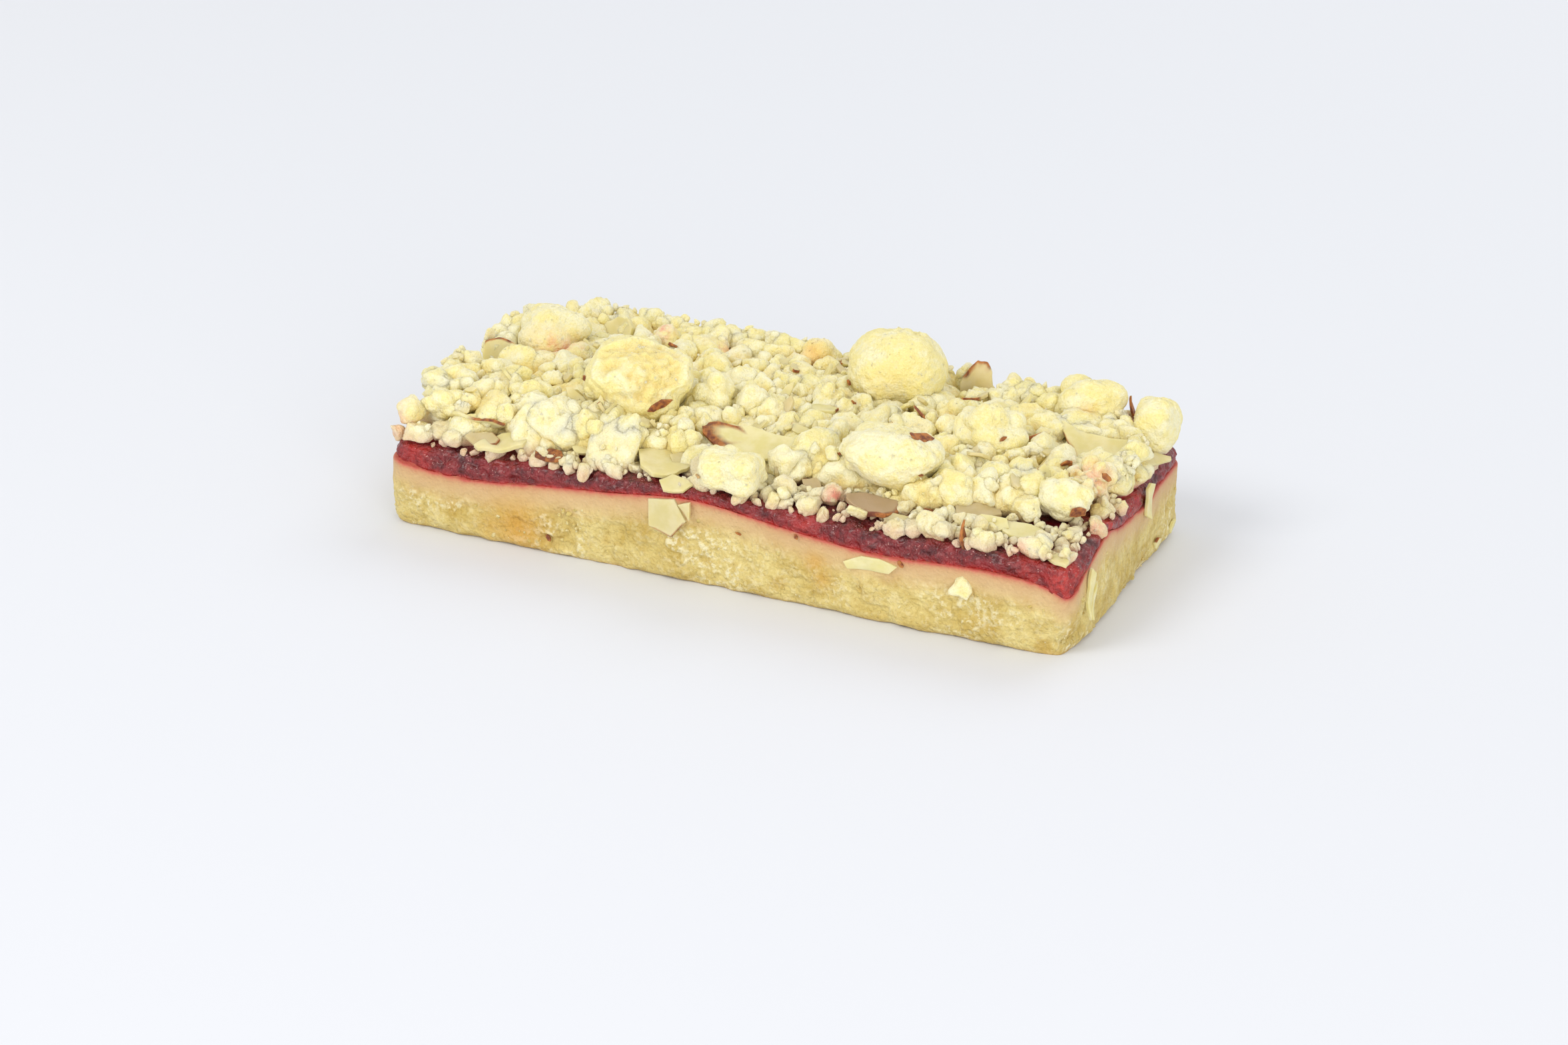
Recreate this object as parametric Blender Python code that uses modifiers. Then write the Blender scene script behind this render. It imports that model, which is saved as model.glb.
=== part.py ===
"""Jam bar: a cut slab of shortbread, a layer of jam, and a topping of crumbs, lumps and almonds.

X runs along the bar, +Y points to its back and +Z up. The origin is under the middle of the bar, on the
plane it rests on. Sizes below are in millimetres and become metres where a mesh is made.
"""

import math

import bmesh
import bpy
import numpy as np
from mathutils import Matrix, Vector, noise

MM = 0.001
SEED = 11

# Driving dimensions of the cut slab
BAR_LENGTH = 114.0
BAR_WIDTH = 55.0
CORNER_RADIUS = 3.5
BASE_HEIGHT = 12.0  # shortbread, at the middle of the bar
JAM_TOP = 15.2  # upper face of the jam, at the middle of the bar
RISE = 0.008  # both faces rise this much a millimetre towards +X
GAP = 0.3  # kept between pieces that touch
RING_POINTS = 84
FLAT_FROM = 7.0  # further in from the sides than this, the layers' faces are plane

# Where the line between shortbread and jam leaves its mean level: x, y, reach along X and Y, height
LINE_WAVES = (
    (-44, -27, 13, 16, -1.8),
    (-5, -27, 13, 16, 2.0),
    (27, -27, 12, 16, -1.1),
    (57, -27, 7, 5, -1.6),
    (57, -12, 10, 6, 2.2),
    (57, 8, 8, 6, -0.7),
    (-57, 5, 8, 9, 0.9),
    (-20, 27, 14, 12, -0.9),
    (20, 27, 12, 12, 1.0),
    (45, 27, 10, 10, -0.6),
)

# Side of the shortbread, from below: how far in from the outline, height, and how rough. Two more rings
# above these follow the line under the jam
FOOT_RINGS = ((1.3, 0.0, 0.8), (0.5, 0.6, 0.8), (0.1, 2.2, 0.8), (0.0, 5.2, 0.35), (0.0, 8.2, 0.35))
SHOULDER_BELOW_LINE = 1.2
SHOULDER_INSET = 0.05
SIDE_ROUGHNESS = 0.35
ROUGH_PERIOD = 9.0
WORN_CORNER = (57, -27.5, 6.5, 6.0, 2.4)  # lower front corner at +X: x, y, reach, height, depth
JAM_RIM_DROP = 0.7  # from the jam's flat top to its upper edge at the sides
JAM_RIM_FOLLOW = 0.35  # share of the line's waves that the upper edge follows
JAM_EDGE_INSET = 0.6
JAM_RIM_INSET = 1.1
JAM_BULGE = ((0.25, 0.7), (0.1, 0.3))  # inset, and share of the way up the jam's side
JAM_SIDE_WAVE = 0.35
JAM_SIDE_PERIOD = 5.0

# Outline of the crumb bed: how far it stays from each side, at places along that side
BED_FRONT = (
    (-57, 3), (-46, 6), (-36, 7), (-22, 6), (-12, 9), (1, 9), (12, 11), (22, 13), (31, 8), (46, 11), (57, 13)
)
BED_BACK = ((-57, 2), (-20, 1.2), (0, 2.2), (20, 1.2), (57, 2))
BED_LEFT = ((-27.5, 2), (0, 1.2), (27.5, 2.4))
BED_RIGHT = ((-27.5, 9), (-12, 5.5), (-2, 4), (8, 4), (14, 8), (27.5, 8))
BED_CORNER = 0.12  # share by which its corners are drawn in
BED_CELLS = (28, 12)
BED_HEIGHT = 3.3
BED_EDGE_HEIGHT = 1.9
BED_EDGE_SHARE = 1 / 3  # share of the way in from its rim over which it rises from the one to the other
BED_LEAST = 0.9
BED_BUMPS = ((4.0, 1.1), (8.0, 0.66))  # period and height
UNDER_LUMP = 0.95  # room between the bed and a lump or slice above it
UNDER_REACH = 1.5  # that room reaches this far past the lump's sides

# Large lumps of crumb: middle x, y, z, half sizes along, across and up, knobs, knob size
LUMPS = (
    (-22.5, -8.0, 23.1, 8.9, 8.0, 6.8, 9, 0.62),
    (12.5, 14.6, 23.7, 8.0, 7.6, 7.1, 8, 0.66),
    (22.5, -14.2, 21.3, 8.2, 6.0, 4.8, 12, 0.52),
    (-45.5, 9.0, 20.9, 6.8, 6.0, 5.0, 8, 0.56),
    (42.5, 21.2, 21.3, 5.9, 5.2, 4.5, 9, 0.52),
    (33.0, 2.2, 21.4, 6.0, 5.0, 4.8, 16, 0.40),
    (0.8, -24.8, 18.8, 5.0, 4.0, 3.3, 8, 0.60),
    (54.2, 19.4, 20.2, 3.6, 4.0, 4.6, 6, 0.66),
    (50.4, -13.2, 19.8, 4.4, 3.6, 3.4, 9, 0.50),
    (-11.5, -3.4, 21.5, 3.2, 3.4, 4.3, 9, 0.44),
    (52.0, -3.6, 19.9, 3.0, 3.4, 3.4, 8, 0.46),
    (-15.0, 21.0, 19.3, 4.4, 3.4, 2.7, 7, 0.50),
    (-3.6, 22.6, 20.1, 3.6, 3.3, 3.5, 7, 0.54),
    (24.6, 9.0, 20.0, 3.4, 3.2, 3.3, 8, 0.48),
    (38.4, -9.8, 19.5, 4.1, 3.2, 2.8, 10, 0.42),
    (-39.0, -13.0, 19.2, 4.0, 3.5, 3.0, 9, 0.44),
    (-50.8, -19.6, 18.5, 3.8, 3.0, 2.6, 9, 0.44),
    (4.8, 4.2, 20.4, 3.0, 3.2, 3.7, 8, 0.46),
)
FEW_FACES_UNDER = 4.7  # a lump with a half length under this gets the coarser ball
LUMP_HEART = 0.6  # no point of a lump is nearer its middle than this share of its reach
KNOB_BLEND = 22  # the higher, the sharper the creases between knobs
KNOB_SPREAD = 0.22

# Sliced almonds: middle x, y, z, length, width, turn, tilt along and across in degrees, bend, broken edges.
# A broken edge is the direction it faces and its distance from the middle, as a share of the half length.
SLICE_THICKNESS = 1.0
SLICE_RIPPLE = 0.15
SLICE_TAPER = 0.22  # how much narrower one end of a slice is than its middle
SLICES = (
    (-0.5, -13.4, 19.4, 16.5, 8.5, 8, -4, 24, 0.8, ((20, 0.86),)),
    (-11.6, -22.6, 16.6, 8.4, 7.4, 10, 4, 8, 0.2, ((150, 0.55), (60, 0.62))),
    (46.6, 9.6, 19.6, 12.5, 9.0, -18, 10, 32, 0.5, ((-60, 0.30), (200, 0.70))),
    (22.6, 24.0, 20.4, 8.2, 6.6, 12, 6, 72, 0.3, ((-70, 0.55), (210, 0.6))),
    (-53.0, 1.6, 19.2, 6.6, 6.4, 20, 0, 66, 0.2, ((180, 0.7), (-80, 0.6))),
    (22.0, -22.4, 16.5, 12.0, 6.2, 4, 2, 6, -0.2, ((170, 0.8),)),
    (-38.0, -24.4, 16.3, 8.6, 4.6, 14, -2, 12, 0.4, ((185, 0.7),)),
    (38.0, -17.4, 16.8, 7.6, 4.2, 10, 4, 14, 0.2, ((0, 0.7), (120, 0.5))),
    (-37.6, 18.4, 20.6, 7.4, 6.6, -30, 0, 58, 0.3, ((190, 0.6),)),
    (46.4, -20.6, 16.4, 7.6, 3.6, 2, 0, 10, 0.4, ((180, 0.75),)),
)

# Crumbs that stick to the jam: middle x, y, z, half sizes, turn. The crumb on the front face has no turn
JAM_BITS = (
    (33.6, -24.9, 16.4, 2.1, 1.9, 2.8, 10),
    (42.0, -25.2, 16.0, 1.8, 1.9, 2.2, 0),
    (49.6, -24.9, 16.0, 2.2, 1.7, 2.0, 25),
    (38.4, -25.6, 15.9, 0.9, 1.7, 2.3, 70),
    (14.6, -20.8, 16.2, 1.6, 1.6, 1.7, 0),
    (-30.6, -24.0, 15.6, 2.4, 1.8, 1.3, 15),
    (-50.6, -25.3, 15.0, 2.1, 1.4, 1.6, 0),
    (55.0, -20.4, 15.9, 1.2, 1.4, 1.7, 0),
    (8.6, -20.6, 16.0, 1.9, 1.5, 1.5, 40),
    (-20.6, -24.8, 15.6, 1.7, 1.3, 1.4, -20),
)
FACE_CRUMB = (39.5, -27.9, 8.7, 1.5, 0.9, 1.8)
# Bits of almond that stand on the front face and on the +X end: middle x, y, z, height, width, turn, lean
# away from the face's top in degrees, broken edges
FACE_FLAKES = (
    (-8.2, -27.9, 10.7, 6.6, 6.6, 90, 5, ((180, 0.7), (60, 0.75), (-60, 0.8))),
    (57.0, -20.2, 8.6, 7.0, 2.6, 0, 0, ((180, 0.9),)),
)

# Crumbs fused to the bed
CRUMB_CELLS = (33, 14)
CRUMB_SPAN = 0.96
CRUMB_LIMIT = 105
CRUMB_HALF = (1.4, 2.9)
CRUMB_STRETCH = (0.8, 1.12)
CRUMB_BUMP = 0.35
CRUMB_REACH = 1.3  # most that a crumb's skin is from its middle, in half sizes
CRUMB_SPACING = 0.8  # of the two half sizes together
CRUMB_SINK = 0.3  # share of a crumb that is in the bed
CRUMB_HIGHEST = 0.8  # most of a half size that a crumb's middle stands over the bed
CLEAR_OF_LUMP = 1.04
CLEAR_OF_SLICE = 1.15

COLLECTION = "jam_bar"
COLOURS = {
    "shortbread": ((0.76, 0.62, 0.33), 0.8),
    "jam": ((0.22, 0.012, 0.03), 0.2),
    "crumb": ((0.83, 0.75, 0.47), 0.85),
    "almond": ((0.78, 0.71, 0.48), 0.5),
}


def clear_scene():
    for item in list(bpy.data.objects):
        bpy.data.objects.remove(item, do_unlink=True)


def new_collection(name):
    made = bpy.data.collections.new(name)
    bpy.context.scene.collection.children.link(made)
    return made


def principled(name):
    colour, roughness = COLOURS[name]
    made = bpy.data.materials.new(name)
    made.use_nodes = True
    shader = made.node_tree.nodes["Principled BSDF"]
    shader.inputs["Base Color"].default_value = (*colour, 1.0)
    shader.inputs["Roughness"].default_value = roughness
    shader.inputs["Metallic"].default_value = 0.0
    return made


def add_object(name, bm, collection, material):
    """Makes an object from a mesh in millimetres, with its faces pointing out."""
    bmesh.ops.scale(bm, vec=(MM, MM, MM), verts=bm.verts)
    bmesh.ops.recalc_face_normals(bm, faces=bm.faces)
    mesh = bpy.data.meshes.new(name)
    bm.to_mesh(mesh)
    bm.free()
    mesh.shade_smooth()
    mesh.materials.append(material)
    made = bpy.data.objects.new(name, mesh)
    collection.objects.link(made)
    return made


def place(item, middle, turn=0.0, along=0.0, across=0.0):
    """Puts an object's middle at a point, in millimetres, after tilting it and turning it about +Z."""
    item.location = Vector(middle) * MM
    item.rotation_euler = (math.radians(across), math.radians(along), math.radians(turn))
    return item


# Outline and levels of the slab


def outline_point(share):
    """Point and outward direction at a share of the way round the slab, seen from above."""
    long_run = BAR_LENGTH - 2 * CORNER_RADIUS
    short_run = BAR_WIDTH - 2 * CORNER_RADIUS
    arc = math.pi * CORNER_RADIUS / 2
    corners = (
        (long_run / 2, -short_run / 2),
        (long_run / 2, short_run / 2),
        (-long_run / 2, short_run / 2),
        (-long_run / 2, -short_run / 2),
    )
    left = share % 1.0 * 2 * (long_run + short_run + 2 * arc)
    for side, run in enumerate((long_run, short_run, long_run, short_run)):
        outward = Matrix.Rotation(math.radians(90 * side - 90), 2) @ Vector((1, 0))
        onward = Vector((-outward.y, outward.x))
        corner = Vector(corners[side])
        if left < run:
            return corner - onward * (run - left) + outward * CORNER_RADIUS, outward
        left -= run
        if left < arc:
            outward.rotate(Matrix.Rotation(left / CORNER_RADIUS, 2))
            return corner + outward * CORNER_RADIUS, outward
        left -= arc
    raise ValueError("the share of the way round is out of range")


def line_height(x, y):
    """Level of the line between shortbread and jam at the sides."""
    waves = sum(
        high * math.exp(-(((x - at_x) / reach_x) ** 2) - ((y - at_y) / reach_y) ** 2)
        for at_x, at_y, reach_x, reach_y, high in LINE_WAVES
    )
    return BASE_HEIGHT + RISE * x + waves


def shoulder_height(x, y):
    return line_height(x, y) - SHOULDER_BELOW_LINE


def jam_level(x):
    return JAM_TOP + RISE * x


def jam_rim_height(x, y):
    """Upper edge of the jam at the sides: a little under its flat top, and partly following the line."""
    wave = line_height(x, y) - BASE_HEIGHT - RISE * x
    return jam_level(x) - JAM_RIM_DROP + JAM_RIM_FOLLOW * wave


def roughness_at(x, y, z, period):
    return noise.noise(Vector((x, y, z)) / period)


def worn_away(x, y, z):
    """Depth lost at the worn corner of the foot."""
    at_x, at_y, reach, high, depth = WORN_CORNER
    away = math.hypot(x - at_x, y - at_y) / reach
    return depth * math.exp(-away * away) * max(0.0, 1 - z / high)


def loft(rings):
    """Closed mesh through rings of points, with a flat face over the first and the last.

    Each band is cut along the same diagonal, so two lofts that share a pair of rings lie parallel there.
    """
    bm = bmesh.new()
    made = [[bm.verts.new(point) for point in ring] for ring in rings]
    for low, high in zip(made, made[1:]):
        for i, corner in enumerate(low):
            beside = (i + 1) % len(low)
            bm.faces.new((corner, low[beside], high[beside]))
            bm.faces.new((corner, high[beside], high[i]))
    bm.faces.new(reversed(made[0]))
    bm.faces.new(made[-1])
    return bm


def slab_ring(inset, height, wave=0.0, period=ROUGH_PERIOD):
    """Ring of points at an inset from the outline. Height and inset may be functions of x and y."""
    ring = []
    for step in range(RING_POINTS):
        point, outward = outline_point(step / RING_POINTS)
        z = height(point.x, point.y) if callable(height) else height
        rough = wave * roughness_at(point.x, point.y, z, period)
        moved = point - outward * (inset + worn_away(point.x, point.y, z) - rough)
        ring.append((moved.x, moved.y, z))
    return ring


def flat_ring(height_at):
    """Ring where the layers' faces become plane: the outline drawn in towards the middle."""
    draw_in = Vector((1 - 2 * FLAT_FROM / BAR_LENGTH, 1 - 2 * FLAT_FROM / BAR_WIDTH))
    ring = []
    for step in range(RING_POINTS):
        point, _ = outline_point(step / RING_POINTS)
        moved = point * draw_in
        ring.append((moved.x, moved.y, height_at(moved.x)))
    return ring


def shortbread_mesh():
    rings = [slab_ring(inset, z, rough) for inset, z, rough in FOOT_RINGS]
    rings.append(slab_ring(SHOULDER_INSET, shoulder_height, SIDE_ROUGHNESS))
    rings.append(slab_ring(JAM_EDGE_INSET, line_height))
    rings.append(flat_ring(lambda x: BASE_HEIGHT + RISE * x))
    return loft(rings)


def jam_mesh():
    def part_way(share):
        return lambda x, y: (line_height(x, y) + GAP) * (1 - share) + jam_rim_height(x, y) * share

    rings = [flat_ring(jam_level), slab_ring(JAM_RIM_INSET, part_way(1.0))]
    for inset, share in JAM_BULGE:
        rings.append(slab_ring(inset, part_way(share), JAM_SIDE_WAVE, JAM_SIDE_PERIOD))
    rings.append(slab_ring(JAM_EDGE_INSET, part_way(0.0)))
    rings.append(flat_ring(lambda x: BASE_HEIGHT + RISE * x + GAP))
    return loft(rings)


# Lumps and crumbs


def spread_directions(count, rng):
    """Unit vectors spread evenly over the sphere along a spiral, each then nudged."""
    step = np.arange(count) + 0.5
    up = 1 - 2 * step / count
    turn = math.pi * (1 + math.sqrt(5)) * step
    side = np.sqrt(1 - up**2)
    points = np.stack([side * np.cos(turn), side * np.sin(turn), up], 1)
    points += rng.normal(0, KNOB_SPREAD, points.shape)
    return points / np.linalg.norm(points, axis=1, keepdims=True)


def knobby_radius(directions, knobs, knob_size, rng):
    """Distance from the middle of a lump to its skin along each direction.

    The lump is many balls that each touch the unit sphere from inside. The distance is that to the far
    side of the furthest ball along the direction, with the crease between two balls softened.
    """
    towards = spread_directions(knobs, rng)
    size = knob_size * rng.uniform(0.8, 1.2, knobs)
    out = 1 - size
    along = directions @ towards.T * out
    inside = size**2 - out**2 + along**2
    reach = np.where((inside > 0) & (along > 0), along + np.sqrt(np.maximum(inside, 0)), 0)
    return np.mean(np.maximum(reach, LUMP_HEART) ** KNOB_BLEND, axis=1) ** (1 / KNOB_BLEND)


def lump_mesh(half, knobs, knob_size, rng):
    """Knobby ball, stretched to its half sizes along the three axes."""
    bm = bmesh.new()
    segments, rings = (10, 7) if max(half) < FEW_FACES_UNDER else (14, 10)
    bmesh.ops.create_uvsphere(bm, u_segments=segments, v_segments=rings, radius=1.0)
    directions = np.array([vertex.co.normalized() for vertex in bm.verts])
    points = directions * knobby_radius(directions, knobs, knob_size, rng)[:, None]
    low, high = points.min(axis=0), points.max(axis=0)
    points = (2 * points - high - low) / (high - low) * half
    for vertex, point in zip(bm.verts, points):
        vertex.co = point
    return bm


def crumb_mesh(half, rng):
    """Small crumb: a coarse ball with its points pushed in and out."""
    bm = bmesh.new()
    bmesh.ops.create_uvsphere(bm, u_segments=6, v_segments=4, radius=1.0)
    shift = Vector(rng.uniform(0, 50, 3))
    for vertex in bm.verts:
        push = 1 + CRUMB_BUMP * noise.noise(vertex.co * 1.3 + shift)
        vertex.co = Vector(np.array(vertex.co) * push * half)
    return bm


def flake_outline(angle, length, width, broken):
    """Point on the rim of an almond slice: a drop shape, cut back to each broken edge."""
    x = math.cos(angle) * length / 2
    y = math.sin(angle) * width / 2 * (1 - SLICE_TAPER * math.cos(angle))
    for facing, share in broken:
        edge = Vector((math.cos(math.radians(facing)), math.sin(math.radians(facing))))
        over = max(0.0, x * edge.x + y * edge.y - share * length / 2)
        x -= edge.x * over
        y -= edge.y * over
    return x, y


def slice_mesh(length, width, bend, broken):
    """Thin wavy sheet: a fan of triangles with one ring inside it, bent along its length."""
    bm = bmesh.new()
    bmesh.ops.create_circle(bm, cap_ends=True, cap_tris=True, segments=12, radius=1.0)
    spokes = [edge for edge in bm.edges if min(vertex.co.length for vertex in edge.verts) < 0.5]
    bmesh.ops.subdivide_edges(bm, edges=spokes, cuts=1)
    for vertex in bm.verts:
        share = vertex.co.length
        angle = math.atan2(vertex.co.y, vertex.co.x)
        x, y = flake_outline(angle, length, width, broken)
        x, y = x * share, y * share
        vertex.co = (x, y, bend * (2 * x / length) ** 2 + SLICE_RIPPLE * math.sin(1.1 * x + 0.8 * y))
    return bm


def thicken(item):
    wall = item.modifiers.new("thickness", "SOLIDIFY")
    wall.thickness = SLICE_THICKNESS * MM
    wall.offset = 0.0
    return item


def slice_tilt(turn, along, across):
    """Rotation of a slice: tilted across, then along, then turned about +Z."""
    about_z = Matrix.Rotation(math.radians(turn), 3, "Z")
    about_y = Matrix.Rotation(math.radians(along), 3, "Y")
    return about_z @ about_y @ Matrix.Rotation(math.radians(across), 3, "X")


# Crumb bed


def side_inset(places, at):
    along, inset = zip(*places)
    return float(np.interp(at, along, inset))


def bed_point(u, v):
    """Point inside the bed's outline for two parameters from -1 to 1, with the corners drawn in."""
    draw_in = 1 - BED_CORNER * abs(u) ** 6 * abs(v) ** 6
    x = u * BAR_LENGTH / 2
    y = v * BAR_WIDTH / 2
    front = -BAR_WIDTH / 2 + side_inset(BED_FRONT, x)
    back = BAR_WIDTH / 2 - side_inset(BED_BACK, x)
    left = -BAR_LENGTH / 2 + side_inset(BED_LEFT, y)
    right = BAR_LENGTH / 2 - side_inset(BED_RIGHT, y)
    inner_x = (left + right) / 2 + u * (right - left) / 2 * draw_in
    inner_y = (front + back) / 2 + v * (back - front) / 2 * draw_in
    return inner_x, inner_y


def lump_underside(x, y):
    """Lowest skin of the lumps and slices over a point, or a great height where there is none."""
    lowest = math.inf
    for at_x, at_y, at_z, half_x, half_y, half_z, *_ in LUMPS:
        share = ((x - at_x) / (half_x + UNDER_REACH)) ** 2 + ((y - at_y) / (half_y + UNDER_REACH)) ** 2
        if share < 1:
            lowest = min(lowest, at_z - half_z * math.sqrt(1 - share))
    for at_x, at_y, at_z, length, width, turn, along, across, bend, _ in SLICES:
        tilt = slice_tilt(turn, along, across)
        normal = tilt @ Vector((0, 0, 1))
        level = at_z - ((x - at_x) * normal.x + (y - at_y) * normal.y) / normal.z
        flat = tilt.inverted() @ Vector((x - at_x, y - at_y, level - at_z))
        share = (flat.x / (length / 2 + UNDER_REACH)) ** 2 + (flat.y / (width / 2 + UNDER_REACH)) ** 2
        if share < 1:
            thick = SLICE_THICKNESS / 2 + max(0.0, -bend) + SLICE_RIPPLE
            lowest = min(lowest, level - thick / normal.z)
    return lowest


def bed_height(u, v):
    """Upper face of the bare bed for the two parameters of its outline."""
    x, y = bed_point(u, v)
    level = jam_level(x)
    inside = min(1.0, (1 - max(abs(u), abs(v))) / BED_EDGE_SHARE)
    rise = BED_EDGE_HEIGHT * (1 - inside) + BED_HEIGHT * inside
    rough = inside * sum(high * roughness_at(x, y, period, period) for period, high in BED_BUMPS)
    under = lump_underside(x, y) - UNDER_LUMP
    return max(level + BED_LEAST, min(level + rise + rough, under))


def bed_mesh():
    """Grid over the bed's outline at the bed's height, with its rim drawn down to a flat underside."""
    bm = bmesh.new()
    across, deep = BED_CELLS
    bmesh.ops.create_grid(bm, x_segments=across, y_segments=deep, size=1.0)
    rim = [edge for edge in bm.edges if edge.is_boundary]
    for vertex in bm.verts:
        u, v = vertex.co.x, vertex.co.y
        vertex.co = (*bed_point(u, v), bed_height(u, v))
    walls = bmesh.ops.extrude_edge_only(bm, edges=rim)["geom"]
    for vertex in (item for item in walls if isinstance(item, bmesh.types.BMVert)):
        vertex.co.z = jam_level(vertex.co.x) + GAP
    bmesh.ops.edgeloop_fill(bm, edges=[edge for edge in bm.edges if edge.is_boundary])
    return bm


def clear_of_lumps(middle, half):
    """Whether a crumb keeps off every lump and slice."""
    reach = half * CRUMB_REACH + GAP
    for at_x, at_y, at_z, half_x, half_y, half_z, *_ in LUMPS:
        away = Vector(middle) - Vector((at_x, at_y, at_z))
        share = Vector((away.x / (half_x + reach), away.y / (half_y + reach), away.z / (half_z + reach)))
        if share.length < CLEAR_OF_LUMP:
            return False
    for at_x, at_y, at_z, length, width, turn, along, across, bend, _ in SLICES:
        away = slice_tilt(turn, along, across).inverted() @ (Vector(middle) - Vector((at_x, at_y, at_z)))
        thick = (SLICE_THICKNESS + abs(bend)) / 2 + SLICE_RIPPLE + reach
        share = Vector((away.x / (length / 2 + reach), away.y / (width / 2 + reach), away.z / thick))
        if share.length < CLEAR_OF_SLICE:
            return False
    return True


def scattered_crumbs(rng):
    """Middles and half sizes of the bed's crumbs: one try in each cell of a jittered grid, largest first."""
    tries = []
    for column in range(CRUMB_CELLS[0]):
        for row in range(CRUMB_CELLS[1]):
            jitter = rng.uniform(0.05, 0.95, 2)
            u = CRUMB_SPAN * (2 * (column + jitter[0]) / CRUMB_CELLS[0] - 1)
            v = CRUMB_SPAN * (2 * (row + jitter[1]) / CRUMB_CELLS[1] - 1)
            tries.append((rng.uniform(*CRUMB_HALF), u, v))
    kept = []
    for half, u, v in sorted(tries, reverse=True):
        x, y = bed_point(u, v)
        bed = bed_height(u, v)
        z = max(bed + half * (1 - 2 * CRUMB_SINK), jam_level(x) + GAP + CRUMB_REACH * half)
        near = any(math.dist((x, y, z), other[:3]) < CRUMB_SPACING * (half + other[3]) for other in kept)
        if not near and z - bed < CRUMB_HIGHEST * half and clear_of_lumps((x, y, z), half):
            kept.append((x, y, z, half))
        if len(kept) == CRUMB_LIMIT:
            break
    return kept


# Fusing


def keep_outer_body(mesh):
    """Drops every loose scrap and sealed hollow, also one that touches the body along an edge."""
    bm = bmesh.new()
    bm.from_mesh(mesh)
    bmesh.ops.triangulate(bm, faces=bm.faces)
    waiting = set(bm.faces)
    bodies = []
    while waiting:
        ahead = [waiting.pop()]
        body = []
        while ahead:
            face = ahead.pop()
            body.append(face)
            plain_edges = (edge for edge in face.edges if len(edge.link_faces) == 2)
            beside = {other for edge in plain_edges for other in edge.link_faces} & waiting
            waiting -= beside
            ahead.extend(beside)
        bodies.append(body)
    bodies.sort(key=len)
    scraps = [face for body in bodies[:-1] for face in body]
    bmesh.ops.delete(bm, geom=scraps, context="FACES")
    bm.to_mesh(mesh)
    bm.free()


def fuse(item, bits):
    """Joins every object of a collection to an object with one Boolean, then removes them."""
    union = item.modifiers.new("fused_bits", "BOOLEAN")
    union.operation = "UNION"
    union.operand_type = "COLLECTION"
    union.collection = bits
    union.solver = "MANIFOLD"
    graph = bpy.context.evaluated_depsgraph_get()
    mesh = bpy.data.meshes.new_from_object(item.evaluated_get(graph))
    item.modifiers.remove(union)
    item.data = mesh
    for bit in list(bits.objects):
        bpy.data.objects.remove(bit, do_unlink=True)
    bpy.data.collections.remove(bits)
    keep_outer_body(mesh)
    return item


def build_shortbread(collection, materials, rng):
    base = add_object("shortbread_base", shortbread_mesh(), collection, materials["shortbread"])
    bits = new_collection("bits_on_the_faces")
    *middle, half_x, half_y, half_z = FACE_CRUMB
    crumb = crumb_mesh((half_x, half_y, half_z), rng)
    place(add_object("face_crumb", crumb, bits, materials["crumb"]), middle)
    for number, (*middle, height, width, turn, lean, broken) in enumerate(FACE_FLAKES):
        bm = slice_mesh(height, width, 0.0, broken)
        flake = add_object(f"face_flake_{number}", bm, bits, materials["almond"])
        place(thicken(flake), middle, turn, 90 - lean)
    return fuse(base, bits)


def build_jam(collection, materials, rng):
    jam = add_object("jam_layer", jam_mesh(), collection, materials["jam"])
    bits = new_collection("bits_in_the_jam")
    for number, (*middle, half_x, half_y, half_z, turn) in enumerate(JAM_BITS):
        bm = crumb_mesh((half_x, half_y, half_z), rng)
        place(add_object(f"jam_bit_{number}", bm, bits, materials["crumb"]), middle, turn)
    return fuse(jam, bits)


def build_topping(collection, materials, rng):
    bed = add_object("crumb_topping", bed_mesh(), collection, materials["crumb"])
    bits = new_collection("crumbs_on_the_bed")
    for number, (x, y, z, half) in enumerate(scattered_crumbs(rng)):
        stretch = half * rng.uniform(*CRUMB_STRETCH, 3)
        bit = add_object(f"crumb_{number}", crumb_mesh(stretch, rng), bits, materials["crumb"])
        place(bit, (x, y, z), rng.uniform(0, 360))
    return fuse(bed, bits)


def build_lumps(collection, materials):
    for number, (*middle, half_x, half_y, half_z, knobs, knob_size) in enumerate(LUMPS, 1):
        rng = np.random.default_rng(SEED * 100 + number)
        bm = lump_mesh(np.array((half_x, half_y, half_z)), knobs, knob_size, rng)
        lump = add_object(f"crumb_lump_{number:02d}", bm, collection, materials["crumb"])
        place(lump, middle)


def build_slices(collection, materials):
    for number, (*middle, length, width, turn, along, across, bend, broken) in enumerate(SLICES, 1):
        bm = slice_mesh(length, width, bend, broken)
        made = add_object(f"almond_slice_{number:02d}", bm, collection, materials["almond"])
        place(thicken(made), middle, turn, along, across)


def main():
    clear_scene()
    rng = np.random.default_rng(SEED)
    collection = new_collection(COLLECTION)
    materials = {name: principled(name) for name in COLOURS}
    build_shortbread(collection, materials, rng)
    build_jam(collection, materials, rng)
    build_topping(collection, materials, rng)
    build_lumps(collection, materials)
    build_slices(collection, materials)


main()
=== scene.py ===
import math

import bpy
import numpy as np
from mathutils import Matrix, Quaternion, Vector


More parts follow.
